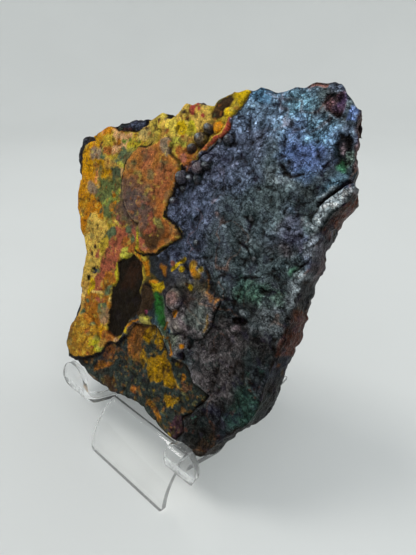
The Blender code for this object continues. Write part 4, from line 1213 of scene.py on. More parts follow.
class NodeKit:
    """The nodes of one material."""

    def __init__(self, name: str) -> None:
        """Makes an empty material with its output."""
        self.material = bpy.data.materials.new(name)
        self.material.use_nodes = True
        self.tree = self.material.node_tree
        self.tree.nodes.clear()
        self.output = self.tree.nodes.new("ShaderNodeOutputMaterial")

    def add(
        self, kind: str, settings: dict[str, Any] | None = None, sockets: dict[Any, Any] | None = None
    ) -> bpy.types.Node:
        """Adds a node.

        Args:
            kind: The node's type.
            settings: Its settings, set first.
            sockets: Values or links of its input sockets, by name or index.

        Returns:
            The node.
        """
        node = self.tree.nodes.new(kind)
        for name, value in (settings or {}).items():
            setattr(node, name, value)
        for key, value in (sockets or {}).items():
            socket = node.inputs[key]
            if isinstance(value, Value):
                self.tree.links.new(value.socket, socket)
            elif isinstance(value, Socket):
                self.tree.links.new(value, socket)
            else:
                socket.default_value = value
        return node

    def noise(self, scale: float, detail: float, roughness: float) -> Value:
        """Noise over the object, with that many features a metre."""
        place = self.add("ShaderNodeTexCoord").outputs["Object"]
        sockets = {"Vector": place, "Scale": scale, "Detail": detail, "Roughness": roughness}
        return Value(self, self.add("ShaderNodeTexNoise", {}, sockets).outputs[0])

    def cells(self, scale: float) -> Value:
        """Distance to scattered cell points, with that many cells a metre."""
        place = self.add("ShaderNodeTexCoord").outputs["Object"]
        return Value(self, self.add("ShaderNodeTexVoronoi", {}, {"Vector": place, "Scale": scale}).outputs[0])

    def attribute(self, name: str) -> bpy.types.Node:
        """The node that reads a named attribute of the mesh."""
        return self.add("ShaderNodeAttribute", {"attribute_name": name, "attribute_type": "GEOMETRY"})

    def blend(self, first: Any, second: Any, factor: Any, kind: str = "MIX") -> Socket:
        """One colour mixed over another."""
        settings = {"data_type": "RGBA", "blend_type": kind}
        return self.add("ShaderNodeMix", settings, {0: factor, 6: first, 7: second}).outputs[2]

    def shade(self, colour: Any, by: Any, factor: Any) -> Socket:
        """A colour multiplied by another."""
        return self.blend(colour, by, factor, "MULTIPLY")

    def bump(self, height: Value, distance: float, strength: float, under: Any = None) -> Socket:
        """A normal tipped by a height, on top of another bump."""
        sockets: dict[Any, Any] = {"Height": height, "Distance": distance, "Strength": strength}
        if under is not None:
            sockets["Normal"] = under
        return self.add("ShaderNodeBump", {}, sockets).outputs[0]

    def surface(self, sockets: dict[str, Any]) -> Material:
        """Ends the material in one principled shader with these sockets, and hands it back."""
        shader = self.add("ShaderNodeBsdfPrincipled", {}, sockets)
        self.tree.links.new(shader.outputs[0], self.output.inputs["Surface"])
        return self.material


def colour4(tone: Tone) -> Colour:
    """A tone as a colour with full cover."""
    red, green, blue = tone.linear()
    return float(red), float(green), float(blue), 1.0


@dataclass(frozen=True)
class TurgiteFinish:
    """Earthy crust and dark metallic rock with thin coloured films, told apart by the mesh's own marks.

    Grain, tooth, wrinkle, pebble, crease, fold, film and worn are features a metre, and depths are metres. The
    base colour also holds painted glints, painted shade in the low spots, creases and folds of bare rock, and
    painted highlights between the creases.
    """

    crust_roughness: float = 0.74
    field_roughness: float = 0.41
    rough_spread: float = 0.30
    field_metallic: float = 0.62
    specular: float = 0.08
    grain: float = 1500.0
    tooth: float = 2550.0
    wrinkle: float = 700.0
    pebble: float = 1100.0
    crease: float = 560.0
    fold: float = 230.0
    film: float = 260.0
    worn: float = 150.0
    crust_pore: Colour = (0.014, 0.010, 0.006, 1.0)
    crust_pore_share: float = 0.62
    crust_light: Colour = (1.9, 1.7, 1.4, 1.0)
    glint_share: float = 0.08
    # Painted shade in the low spots of the bare rock's grain and wrinkles.
    grain_shade: Colour = (0.004, 0.004, 0.005, 1.0)
    grain_shade_share: float = 0.52
    wrinkle_shade: Colour = (0.006, 0.006, 0.008, 1.0)
    wrinkle_shade_share: float = 0.40
    # Painted shade along creases and folds, and the painted highlight between the creases.
    crease_shade: Colour = (0.28, 0.28, 0.29, 1.0)
    crease_width: float = 0.044
    fold_shade: Colour = (0.24, 0.23, 0.23, 1.0)
    fold_width: float = 0.042
    polish: Colour = (1.30, 1.30, 1.31, 1.0)
    violet_film: Colour = (0.060, 0.046, 0.120, 1.0)
    violet_share: float = 0.14
    teal_film: Colour = (0.022, 0.060, 0.066, 1.0)
    teal_share: float = 0.16
    grain_depth: float = 0.00034
    wrinkle_depth: float = 0.00055
    crease_depth: float = 0.00058
    pebble_depth: float = 0.00025

    def material(self) -> Material:
        """Builds the material.

        Returns:
            The stone's material.
        """
        kit = NodeKit("turgite")
        tint = kit.attribute("tint").outputs["Color"]
        crust = Value(kit, kit.attribute("crust").outputs["Fac"])
        bare = 1.0 - crust
        grain = kit.noise(self.grain, 4.0, 0.62)
        wrinkle = kit.noise(self.wrinkle, 3.0, 0.6)
        tooth = kit.noise(self.tooth, 2.0, 0.5)
        creases = abs(kit.noise(self.crease, 3.0, 0.55) - 0.5)
        folds = abs(kit.noise(self.fold, 3.0, 0.6) - 0.5)
        patchy = kit.noise(self.worn, 1.0, 0.5).ramp(0.30, 0.56)
        film = kit.noise(self.film, 2.0, 0.5)

        pored = kit.blend(tint, self.crust_pore, (grain.ramp(0.52, 0.32) * self.crust_pore_share) * crust)
        pale = kit.shade(pored, self.crust_light, tooth.ramp(0.54, 0.70) * crust)
        # Painted glints: silver on the bare rock's grain peaks.
        glint = tooth.ramp(0.50, 0.68) * grain.ramp(0.44, 0.60) * bare
        glinted = kit.blend(pale, colour4(Tone.SILVER), glint * self.glint_share)
        # Painted shade in the low spots of the grain and the wrinkles, on bare rock.
        worn = kit.blend(glinted, self.grain_shade, grain.ramp(0.51, 0.37) * bare * self.grain_shade_share)
        wrinkle_shaded = kit.blend(worn, self.wrinkle_shade, wrinkle.ramp(0.48, 0.34) * bare * self.wrinkle_shade_share)
        # Painted shade along the creases and folds, then a painted highlight between the creases.
        crease = (1.0 - creases.ramp(0.0, self.crease_width)) * (bare * 0.80 + 0.08) * (0.45 + patchy * 0.55)
        fold = (1.0 - folds.ramp(0.0, self.fold_width)) * (bare * 0.90 + 0.05)
        folded = kit.shade(kit.shade(wrinkle_shaded, self.crease_shade, crease), self.fold_shade, fold)
        polished = kit.shade(folded, self.polish, creases.ramp(0.04, 0.14) * bare)
        violet = kit.blend(polished, self.violet_film, film.ramp(0.54, 0.68) * bare * self.violet_share)
        colour = kit.blend(violet, self.teal_film, film.ramp(0.46, 0.32) * bare * self.teal_share)
        rough = crust * self.crust_roughness + bare * self.field_roughness + (grain - 0.5) * self.rough_spread

        fine = kit.bump(grain * (crust * 0.6 + 0.4), self.grain_depth, 0.9)
        wrinkled = kit.bump(wrinkle, self.wrinkle_depth, 0.6, fine)
        creased = kit.bump(creases.ramp(0.0, 0.13) * bare, self.crease_depth, 1.0, wrinkled)
        pebbled = kit.bump(kit.cells(self.pebble), self.pebble_depth, 0.30, creased)
        return kit.surface(
            {
                "Base Color": colour,
                "Roughness": rough,
                "Metallic": bare * self.field_metallic,
                "Normal": pebbled,
                "Specular IOR Level": self.specular,
            }
        )


@dataclass(frozen=True)
class AcrylicFinish:
    """Clear bent acrylic with faint handling marks."""

    ior: float = 1.49
    body: float = 0.92
    tint: Colour = (0.995, 0.998, 0.998, 1.0)
    polish: float = 0.012
    haze: float = 0.030
    scuff: float = 0.020
    ripple_depth: float = 0.00006

    def material(self) -> Material:
        """Builds the material.

        Returns:
            The easel's material.
        """
        kit = NodeKit("clear_acrylic")
        haze = kit.noise(90.0, 3.0, 0.6).ramp(0.50, 0.75)
        scuff = kit.noise(900.0, 2.0, 0.5).ramp(0.62, 0.75)
        return kit.surface(
            {
                "Base Color": self.tint,
                "Roughness": self.polish + haze * self.haze + scuff * self.scuff,
                "IOR": self.ior,
                "Transmission Weight": 1.0,
                "Alpha": self.body,
                "Normal": kit.bump(kit.noise(40.0, 1.0, 0.4), self.ripple_depth, 0.25),
            }
        )


@dataclass(frozen=True)
class FloorFinish:
    """Plain pale matt floor."""

    colour: Colour = (0.655, 0.672, 0.658, 1.0)
    cloud: Colour = (0.64, 0.657, 0.643, 1.0)
    roughness: float = 0.7

    def material(self) -> Material:
        """Builds the material.

        Returns:
            The floor's material.
        """
        kit = NodeKit("pale_floor")
        colour = kit.blend(self.colour, self.cloud, kit.noise(6.0, 2.0, 0.5).ramp(0.3, 0.7))
        return kit.surface({"Base Color": colour, "Roughness": self.roughness})


# The pieces, the floor, the lights and the camera.


def make_object(name: str, vertices: Array, faces: Iterable[Sequence[int]], material: Material) -> Thing:
    """One object from millimetre vertices.

    Args:
        name: The object's name.
        vertices: Its vertices, in millimetres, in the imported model's frame.
        faces: Its faces.
        material: Its material.

    Returns:
        The object.
    """
    mesh = bpy.data.meshes.new(name)
    mesh.from_pydata((np.asarray(vertices) * MM).tolist(), [], [tuple(face) for face in faces])
    mesh.materials.append(material)
    mesh.validate()
    thing = bpy.data.objects.new(name, mesh)
    bpy.context.scene.collection.objects.link(thing)
    return thing


def slope_axes() -> tuple[Array, Array]:
    """Up the stone's slope, and out of its face: how far back and how far up each goes."""
    return np.array([math.sin(LEAN), math.cos(LEAN)]), np.array([-math.cos(LEAN), math.sin(LEAN)])


def along(heading: float) -> Vector:
    """One step along a heading."""
    return Vector((math.cos(heading), math.sin(heading)))


def left_of(heading: float) -> Vector:
    """One step to the left of a heading."""
    return Vector((-math.sin(heading), math.cos(heading)))


@dataclass
class Easel:
    """The clear easel: one sheet, bent into a front panel, two hooks, a shelf, a backrest and a leg."""

    sheet: float = 2.0
    panel_half: float = 19.05
    panel_corner: float = 1.0
    shelf_half: float = 23.6
    hook_inner: float = 20.0
    backrest_top: float = 62.0
    crest_radius: float = 3.0
    crest_turn: float = math.radians(60.0)
    crest_slope: float = 2.2
    panel_radius: float = 19.0
    panel_heading: float = math.radians(256.7)
    hook_flat: tuple[float, ...] = (2.5, 2.5, 1.4, 1.3)
    hook_radius: float = 8.0
    hook_turn: float = math.radians(76.0)
    hook_lip: float = 7.4
    hook_tip: float = 6.2
    tip_angles: tuple[float, ...] = (12.0, 24.0, 36.0, 48.0, 60.0, 70.0, 78.0)
    flare_at: tuple[float, ...] = (0.0, 5.0, 7.8, 10.5, 13.0, 15.0, 18.0)
    flare: tuple[float, ...] = (23.6, 23.6, 24.6, 26.8, 29.4, 31.2, 32.4)
    bend_radius: float = 4.0
    leg_half: float = 18.4
    leg_heading: float = math.radians(-84.2)
    rear_foot: float = 8.0
    shelf_flat: float = 9.9
    gap: float = 0.3
    arc_step: float = math.radians(3.5)
    edge_round: float = 0.22
    edge_angle: float = math.radians(40.0)
    vertices: list[Place] = field(default_factory=list)
    faces: list[list[int]] = field(default_factory=list)
    slot: Vector = field(init=False)
    slot_row: list[Edge] = field(init=False)
    forward: float = field(init=False)

    def follow(self, start: Vector, heading: float, moves: Sequence[Move]) -> Path:
        """The path that the sheet's middle takes, seen from the side.

        Args:
            start: Where it starts.
            heading: Which way it starts.
            moves: Lines and arcs, each with its length or turn and its radius.

        Returns:
            Rows of a place, a heading and the distance travelled.
        """
        rows = [(start, heading, 0.0)]
        travelled = 0.0
        for kind, amount, radius in moves:
            point, heading, _ = rows[-1]
            if kind == "line":
                travelled += amount
                rows.append((point + along(heading) * amount, heading, travelled))
                continue
            steps = max(2, math.ceil(abs(amount) / self.arc_step))
            side = math.copysign(1.0, amount)
            centre = point + left_of(heading) * radius * side
            for index in range(1, steps + 1):
                angle = heading + amount * index / steps
                place = centre - left_of(angle) * radius * side
                rows.append((place, angle, travelled + radius * abs(amount) * index / steps))
            travelled += radius * abs(amount)
        return rows

    def row(
        self, place: Vector, heading: float, across: Sequence[float], side: float, level: float | None = None
    ) -> list[Edge]:
        """A row of vertex pairs across the sheet.

        Args:
            place: The sheet's middle, seen from the side.
            heading: Which way the sheet runs there.
            across: How far to the right each pair is.
            side: 1 or -1, the side of the heading that is the upper skin.
            level: A height at which the row is cut level, or None.

        Returns:
            Pairs of an upper and a lower vertex.
        """
        normal = left_of(heading) * side
        run = along(heading)
        pairs = []
        for x in across:
            pair = []
            for half in (0.5, -0.5):
                point = place + normal * self.sheet * half
                if level is not None:
                    point = point + run * ((level - point.y) / run.y)
                pair.append(len(self.vertices))
                self.vertices.append((x, point.x, point.y))
            pairs.append((pair[0], pair[1]))
        return pairs

    def skins(self, boundary: Sequence[Edge]) -> None:
        """Adds the upper and lower face over a closed run of pairs."""
        self.faces.append([pair[0] for pair in boundary])
        self.faces.append([pair[1] for pair in reversed(boundary)])

    def edge(self, first: Edge, second: Edge) -> None:
        """Adds the cut edge between two neighbouring pairs."""
        self.faces.append([first[0], first[1], second[1], second[0]])

    def strip(self, rows: Sequence[Sequence[Edge]]) -> None:
        """Adds skins and side edges along rows of two pairs, and the cut across the last."""
        for lower, upper in zip(rows, rows[1:]):
            self.skins([lower[0], lower[1], upper[1], upper[0]])
            self.edge(lower[1], upper[1])
            self.edge(upper[0], lower[0])
        self.edge(rows[-1][1], rows[-1][0])

    def hook_sides(self, travelled: float, run: float) -> Pair:
        """A hook's inner and outer side, by the distance along it and the run into its rounded tip."""
        outer = float(np.interp(travelled, self.flare_at, self.flare))
        middle = 0.5 * (self.hook_inner + outer)
        half = 0.5 * (outer - self.hook_inner) * math.sqrt(max(0.0, 1.0 - (run / self.hook_tip) ** 2))
        return middle - half, middle + half

    def panel(self) -> None:
        """Adds the front panel, from the shelf's slot over the crest down to the table."""
        turn = self.panel_heading - self.forward - self.crest_turn
        moves = [
            ("arc", self.crest_turn, self.crest_radius),
            ("line", self.crest_slope, 0.0),
            ("arc", turn, self.panel_radius),
        ]
        path = self.follow(self.slot, self.forward, moves)
        place, heading, _ = path[-1]
        left = -place.y / math.sin(heading) - self.panel_corner
        path += self.follow(place, heading, [("line", left, 0.0)])[1:]
        rows = [self.slot_row[2:4]]
        for place, heading, _ in path[1:]:
            rows.append(self.row(place, heading, (-self.panel_half, self.panel_half), -1.0))
        narrow = self.panel_half - self.panel_corner
        rows.append(self.row(path[-1][0], heading, (-narrow, narrow), -1.0, 0.0))
        self.strip([list(reversed(row)) for row in rows])

    def hooks(self) -> None:
        """Adds the two hooks that hold the stone's foot."""
        moves = [("line", run, 0.0) for run in self.hook_flat]
        moves += [("arc", -self.hook_turn, self.hook_radius), ("line", self.hook_lip - self.hook_tip, 0.0)]
        path = self.follow(self.slot, self.forward, moves)
        tip, heading, reached = path[-1]
        stations = [(place, way, travelled, 0.0) for place, way, travelled in path[1:]]
        for angle in self.tip_angles:
            run = self.hook_tip * math.sin(math.radians(angle))
            stations.append((tip + along(heading) * run, heading, reached, run))
        for side, first in ((-1.0, 0), (1.0, 4)):
            rows = [self.slot_row[first : first + 2]]
            for place, way, travelled, run in stations:
                across = sorted(side * x for x in self.hook_sides(travelled, run))
                rows.append(self.row(place, way, across, -1.0))
            self.strip([list(reversed(row)) for row in rows])

    def backrest(self, upward: float) -> None:
        """Adds the shelf's back, the backrest, the rear leg and its foot.

        Args:
            upward: The heading of the backrest.
        """
        backward = self.forward - math.pi
        rest = self.backrest_top - self.bend_radius
        moves = [
            ("line", self.shelf_flat, 0.0),
            ("arc", math.pi / 2.0, self.bend_radius),
            ("line", rest, 0.0),
            ("arc", self.leg_heading - upward, self.bend_radius),
        ]
        top = self.follow(self.slot, backward, moves)[-1][0]
        drop = self.bend_radius * (1.0 - math.cos(-self.leg_heading))
        leg = (top.y - 0.5 * self.sheet - drop) / -math.sin(self.leg_heading)
        moves += [("line", leg, 0.0), ("arc", -self.leg_heading, self.bend_radius)]
        moves.append(("line", self.rear_foot, 0.0))
        low_end = self.shelf_flat + 0.5 * math.pi * self.bend_radius
        rows = []
        for place, heading, travelled in self.follow(self.slot, backward, moves)[1:]:
            share = min(1.0, max(0.0, (travelled - low_end) / rest))
            half = self.shelf_half + (self.leg_half - self.shelf_half) * share
            rows.append(self.row(place, heading, (-half, half), 1.0))
        self.skins(self.slot_row + [rows[0][1], rows[0][0]])
        self.edge(self.slot_row[-1], rows[0][1])
        self.edge(rows[0][0], self.slot_row[0])
        self.strip(rows)

    def build(self, material: Material) -> tuple[Thing, Vector]:
        """Builds the easel where its solid stands.

        Args:
            material: The clear sheet's material.

        Returns:
            The easel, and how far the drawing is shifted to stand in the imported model, in millimetres.
        """
        up, out = slope_axes()
        self.forward = math.atan2(out[1], out[0])
        slot_out = -(REACH_BACK + self.gap) + self.bend_radius - 0.5 * self.sheet + self.shelf_flat
        slot_at = np.array(FACE_FOOT) - up * (self.gap + 0.5 * self.sheet) + out * slot_out
        self.slot = Vector(slot_at.tolist())
        half_row = (self.shelf_half, self.hook_inner, self.panel_half)
        columns = [-half for half in half_row] + list(reversed(half_row))
        self.slot_row = self.row(self.slot, self.forward - math.pi, columns, 1.0)
        for gap in (1, 3):
            self.edge(self.slot_row[gap], self.slot_row[gap + 1])
        self.panel()
        self.hooks()
        self.backrest(math.atan2(up[1], up[0]))

        low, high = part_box("display_easel")
        points = np.array(self.vertices)
        shift = Vector(((low.x + high.x) / 2.0 / MM, high.y / MM - points[:, 1].max(), 0.0))
        thing = make_object("clear_easel", points + np.array(shift), self.faces, material)
        self.polish_edges(thing)
        thing.visible_shadow = False
        return thing, shift

    def polish_edges(self, thing: Thing) -> None:
        """Rounds the cut edges a little, as polished."""
        thing.data.shade_smooth()
        bevel = thing.modifiers.new("polished_edges", "BEVEL")
        bevel.width = self.edge_round * MM
        bevel.segments = 2
        bevel.limit_method = "ANGLE"
        bevel.angle_limit = self.edge_angle
        bevel.harden_normals = True


@dataclass
class Stone:
    """The turgite plate: its relief face, broken rim and rough back.

    Its mesh is the fine face first, then the rim's rows from the face to the back, then the coarser back.
    """

    shift: Vector
    left_edge: float = -76.0
    right_edge: float = 38.0
    left_thickness: float = 8.0
    right_thickness: float = 13.2
    rim_undercut: float = 1.3
    corner_undercut: float = 4.6
    undercut_reach: float = 9.0
    foot_swell: float = 1.7
    foot_swell_reach: float = 16.0
    calm_border: float = 1.5
    back_round: float = 1.8
    back_round_reach: float = 3.0
    spacing: float = 0.9
    layers: int = 13
    first_layer: float = 0.04
    last_layer: float = 0.93
    painted_rows: float = 5.5
    painted_share: float = 0.85
    bead_crust: float = 0.2

    def place(self, points: Array, height: Array) -> Array:
        """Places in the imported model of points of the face.

        Args:
            points: Places on the face.
            height: How far each stands out from the face's plane.

        Returns:
            Places in millimetres.
        """
        up, out = ([0.0, *axis] for axis in slope_axes())
        foot = np.array([0.0, *FACE_FOOT]) + np.array(self.shift)
        across = np.outer(points[:, 0], [1.0, 0.0, 0.0])
        return foot + across + np.outer(points[:, 1], up) + np.outer(height, out)

    def face_height(self, points: Array) -> Array:
        """How far the main relief stands out, as in the solid.

        Args:
            points: Places on the face.

        Returns:
            A height in millimetres for each point.
        """
        flat = at_level(points)
        ragged = points + noise_columns(flat, 3.4, (11, 12)) * 0.5
        height = 1.3 * layered_noise(flat, 24.0, 1) + 0.55 * layered_noise(flat, 7.0, 5)
        height -= 0.35 * np.abs(layered_noise(flat, 5.0, 8, 2))
        height += self.foot_swell * ease_step(1.0 - points[:, 1] / self.foot_swell_reach)
        for polygon, level, slope in STEPS:
            height += level * ease_step(edge_distance(ragged, polygon) / slope + 0.5)
        for across, up, half_width, half_length, level in LUMPS:
            height += level * dome(0.5 * (points + ragged), across, up, half_width, half_length)
        for across, up, half_width, half_length, turn, level in PITS:
            height -= level * dome(ragged, across, up, half_width, half_length, turn)
        rough = 1.0 + 0.35 * layered_noise(flat, 2.2, 15, 2)
        for path, half_width, level in RIDGES:
            over = np.sqrt(np.clip(1.0 - (path_distance(ragged, path) / half_width) ** 2, 0.0, 1.0))
            height += level * over * rough
        for path, half_width, level in CRACKS:
            height -= level * np.clip(1.0 - path_distance(ragged, path) / half_width, 0.0, 1.0)
        return height

    def fine_relief(self, points: Array, crust: Array) -> Array:
        """The small relief that only the dressed stone has: folds, rolls and grains, and plates on crust.

        Args:
            points: Places on the face.
            crust: How earthy each place is, from 0 to 1.

        Returns:
            A height in millimetres for each point.
        """
        flat = at_level(points, 3.0)
        bend = at_level(noise_columns(flat, 4.0, (119, 120)))
        folds = np.abs(layered_noise(flat + 0.9 * bend, 3.4, 121))
        rolls = np.abs(layered_noise(flat + 1.6 * bend, 8.0, 123, 2))
        grains = layered_noise(flat, 1.4, 131, 2)
        plates = rise(lattice_noise(flat, 4.6, 137), 0.05, 0.16)
        swells = layered_noise(flat, 6.5, 125, 2)
        bare = 0.55 * folds + 0.24 * grains + 1.5 * rolls + 0.60 * swells
        return (1.0 - crust) * bare + crust * (0.34 * grains + 0.28 * plates + 0.30 * swells)

    def back_depth(self, points: Array) -> Array:
        """How far the broken back lies behind the face's plane.

        Args:
            points: Places on the face.

        Returns:
            A depth in millimetres for each point.
        """
        flat = at_level(points, 40.0)
        share = (points[:, 0] - self.left_edge) / (self.right_edge - self.left_edge)
        depth = self.left_thickness + (self.right_thickness - self.left_thickness) * share
        depth += 1.5 * layered_noise(flat, 30.0, 21) + 0.8 * layered_noise(flat, 8.0, 25)
        depth += 0.9 * rise(lattice_noise(flat, 16.0, 29), 0.1, 0.12)
        depth -= 0.3 * (0.5 - np.abs(layered_noise(flat, 3.0, 141, 2)))
        return np.minimum(depth, REACH_BACK)

    def undercut(self, points: Array) -> Array:
        """How far the rim leans in towards the back: most at the upper right corner."""
        corner = rise(points[:, 1], 85.0, 12.0) * rise(points[:, 0], 22.0, 10.0)
        return self.rim_undercut + self.corner_undercut * corner

    def rough_outline(self) -> Array:
        """The face's outline as evenly spaced points, roughened between its corners.

        Returns:
            The points in order.
        """
        ends = np.asarray(OUTLINE, float)
        closed = np.vstack([ends, ends[:1]])
        travelled = np.concatenate([[0.0], np.cumsum(np.hypot(*np.diff(closed, axis=0).T))])
        count = int(round(travelled[-1] / self.spacing))
        at = np.linspace(0.0, travelled[-1], count, endpoint=False)
        line = np.column_stack([np.interp(at, travelled, closed[:, axis]) for axis in (0, 1)])
        flat = at_level(line, 7.0)
        line += noise_columns(flat, 3.0, (31, 35), 2) * 0.55
        line += noise_columns(flat, 1.8, (37, 38)) * 0.4
        return cut_level(line)

    def fill(self, outline: Array) -> tuple[Array, Array, list[int]]:
        """Fills the outline with triangles on an even grid.

        Args:
            outline: The outline's points.

        Returns:
            The points, the triangles, and the indices of the outline's points.
        """
        low, high = outline.min(axis=0), outline.max(axis=0)
        height = self.spacing * math.sqrt(3.0) / 2.0
        grid = []
        for row in range(int((high[1] - low[1]) / height) + 1):
            across = np.arange(low[0] + (0.5 * self.spacing if row % 2 else 0.0), high[0], self.spacing)
            grid.append(np.column_stack([across, np.full(len(across), low[1] + row * height)]))
        inner = np.vstack(grid)
        inner = inner[edge_distance(inner, outline) > 0.6 * self.spacing]
        count = len(outline)
        ring = [(index, (index + 1) % count) for index in range(count)]
        seeds = [Vector(point) for point in np.vstack([outline, inner]).tolist()]
        points, _, faces, origins, _, _ = delaunay_2d_cdt(seeds, ring, [list(range(count))], 1, 1.0e-6)
        places = {origin: index for index, sources in enumerate(origins) for origin in sources}
        rim = [places[index] for index in range(count)]
        return np.array([(point.x, point.y) for point in points]), np.array(faces), rim

    def halve(self, points: Array, faces: Array, rim: list[int]) -> tuple[Array, Array, list[int]]:
        """Splits each triangle in four at the middles of its sides.

        Args:
            points: The points.
            faces: The triangles.
            rim: The indices of the outline's points.

        Returns:
            The same three, finer.
        """
        unique, back = np.unique(triangle_sides(faces), axis=0, return_inverse=True)
        count = len(points)
        finer = np.vstack([points, points[unique].mean(axis=1)])
        a, b, c = faces.T
        ab, bc, ca = count + back.reshape(3, len(faces))
        split = np.vstack([np.column_stack(t) for t in ((a, ab, ca), (ab, b, bc), (ca, bc, c), (ab, bc, ca))])
        lookup = {(int(low), int(high)): count + at for at, (low, high) in enumerate(unique)}
        loop = []
        for start, end in zip(rim, rim[1:] + rim[:1]):
            loop += [start, lookup[(min(start, end), max(start, end))]]
        return finer, split, loop

    def rim_layers(self, outline: Array, front: Array, back: Array) -> list[Array]:
        """The rows of the broken rim from the face to the back.

        Args:
            outline: The outline's points.
            front: The face's height at each.
            back: The back's depth at each.

        Returns:
            Rows of places in millimetres.
        """
        run = np.roll(outline, -1, axis=0) - np.roll(outline, 1, axis=0)
        normal = np.column_stack([run[:, 1], -run[:, 0]])
        normal /= np.hypot(*normal.T)[:, None]
        rows = []
        for share in np.linspace(self.first_layer, self.last_layer, self.layers):
            height = front + (-back - front) * share
            steep = np.column_stack([outline, height * 3.0])
            rim_at = np.column_stack([outline, height])
            push = 0.9 * layered_noise(steep, 6.0, 41) + 0.5 * lattice_noise(steep, 14.0, 45)
            leaning = (self.undercut(outline) - self.rim_undercut) * share
            push += 0.9 * math.sin(math.pi * share) - 0.4 - leaning
            push += 1.0 * np.abs(layered_noise(rim_at, 3.6, 151)) - 0.25
            push *= min(1.0, share / 0.12)
            held = min(1.0, share / 0.2) * min(1.0, (1.0 - share) / 0.2)
            height = height + 0.9 * lattice_noise(rim_at, 2.8, 195) * held
            rows.append(self.place(cut_level(outline + normal * push[:, None]), height))
        return rows

    def back_places(self, coarse: Array, coarse_rim: list[int]) -> Array:
        """Places of the back, drawn in and rounded along its border.

        Args:
            coarse: The back's points, as places on the face.
            coarse_rim: The indices of the outline's points.

        Returns:
            Places in millimetres.
        """
        reach = edge_distance(coarse, coarse[coarse_rim])
        tuck = self.undercut(coarse) * ease_step(1.0 - reach / self.undercut_reach)
        pull = coarse[coarse_rim].mean(axis=0) - coarse
        drawn = cut_level(coarse + pull / np.hypot(*pull.T)[:, None] * tuck[:, None])
        rounding = self.back_round * ease_step(1.0 - reach / self.back_round_reach)
        return self.place(drawn, rounding - self.back_depth(coarse))

    def skin(self, count: int, rim: list[int], back_faces: Array, back_rim: list[int]) -> list[Sequence[int]]:
        """The faces of the rim and the back.

        Args:
            count: How many points the face has.
            rim: The indices of the face's outline.
            back_faces: The back's triangles, as they lie on the face.
            back_rim: The indices of the back's outline, which has every second point of the face's.

        Returns:
            The faces.
        """
        ring = len(rim)
        loops = [np.array(rim)] + [count + row * ring + np.arange(ring) for row in range(self.layers)]
        skin: list[Sequence[int]] = []
        for upper, lower in zip(loops, loops[1:]):
            skin += np.column_stack([np.roll(upper, -1), upper, lower, np.roll(lower, -1)]).tolist()
        start = count + self.layers * ring
        last = loops[-1].tolist()
        for index, at in enumerate(back_rim):
            low = start + at
            following = start + back_rim[(index + 1) % len(back_rim)]
            first, middle, third = last[2 * index], last[2 * index + 1], last[(2 * index + 2) % ring]
            skin += [(middle, first, low), (middle, low, following), (third, middle, following)]
        return skin + [[start + at for at in reversed(face)] for face in back_faces.tolist()]

    def broken_colours(self, places: Array) -> Array:
        """The colours of the rim and the back: dark rock with rust and ochre stains, and painted crevice shade.

        Args:
            places: Places in millimetres.

        Returns:
            Linear colours.
        """
        colour = np.tile(Tone.SLATE.linear(), (len(places), 1))
        for stain in BROKEN_STAINS:
            stain.lay(colour, places)
        # Painted shade: much darker along thin noise lines, as in shaded crevices, and lighter between them.
        crevice_shade = np.clip(2.2 * np.abs(layered_noise(places, 2.4, 187, 2)), 0.0, 1.0)
        return colour * (0.35 + 1.2 * crevice_shade)[:, None]

    def tone_rim(self, colour: Array, outline: Array) -> None:
        """Lays the rim's own stains and darker patches on its rows, from the face to the back.

        Args:
            colour: The colours of the rim and the back, changed in place.
            outline: The outline's points.
        """
        ring = len(outline)
        for row in range(self.layers):
            paint = FacePaint(outline, 0.35 * row)
            paint.colour = colour[row * ring : (row + 1) * ring]
            paint.lay_all(RIM_TONES)

    def dress(self, thing: Thing, paint: FacePaint, rim: list[int], places: Array) -> None:
        """Works out the colours and the crust of the rim and the back, and marks the mesh with all of them.

        Args:
            thing: The stone.
            paint: The face's paint.
            rim: The indices of the face's outline.
            places: The places of the rim and the back.
        """
        ring = len(rim)
        many = self.layers * ring
        fade = np.clip(1.0 - np.arange(self.layers) / self.painted_rows, 0.0, 1.0)
        near = np.repeat(fade, ring) * ease_step(0.7 + 0.9 * layered_noise(places[:many], 2.6, 193, 2))
        broken = self.broken_colours(places)
        self.tone_rim(broken, paint.places[rim])
        painted = np.tile(paint.colour[rim], (self.layers, 1)) * self.painted_share
        broken[:many] += (painted - broken[:many]) * near[:, None]
        earthy = 0.16 + 0.34 * layered_noise(places, 7.0, 191)
        earthy[:many] += (np.tile(paint.crust[rim], self.layers) * near - earthy[:many]) * near
        crust = np.concatenate([paint.crust, np.clip(earthy, 0.0, 1.0)])
        self.mark(thing, np.vstack([paint.colour, broken]), crust)

    def mark(self, thing: Thing, colours: Array, crusts: Array) -> None:
        """Stores the colours and the crust on the mesh, for its material."""
        mesh = thing.data
        tint = mesh.attributes.new("tint", "FLOAT_COLOR", "POINT")
        filled = np.column_stack([np.clip(colours, 0.0, 1.0), np.ones(len(colours))])
        tint.data.foreach_set("color", filled.astype(np.float32).ravel())
        crust = mesh.attributes.new("crust", "FLOAT", "POINT")
        crust.data.foreach_set("value", crusts.astype(np.float32))
        mesh.shade_smooth()

    def build(self, material: Material) -> Thing:
        """Builds and colours the stone.

        Args:
            material: The stone's material.

        Returns:
            The stone.
        """
        coarse, coarse_faces, coarse_rim = self.fill(self.rough_outline())
        points, faces, rim = self.halve(coarse, coarse_faces, coarse_rim)
        paint = FacePaint(points)
        paint.paint()
        reach = edge_distance(points, points[rim])
        fine = self.fine_relief(points, paint.crust) * ease_step(reach / self.calm_border)
        front = self.face_height(points) + fine
        # Painted shade in the hollows and painted highlights on what stands out.
        PaintedReliefLight().apply(paint.colour, paint.crust, front, faces)
        paint.lay_all(BEADS, self.bead_crust)

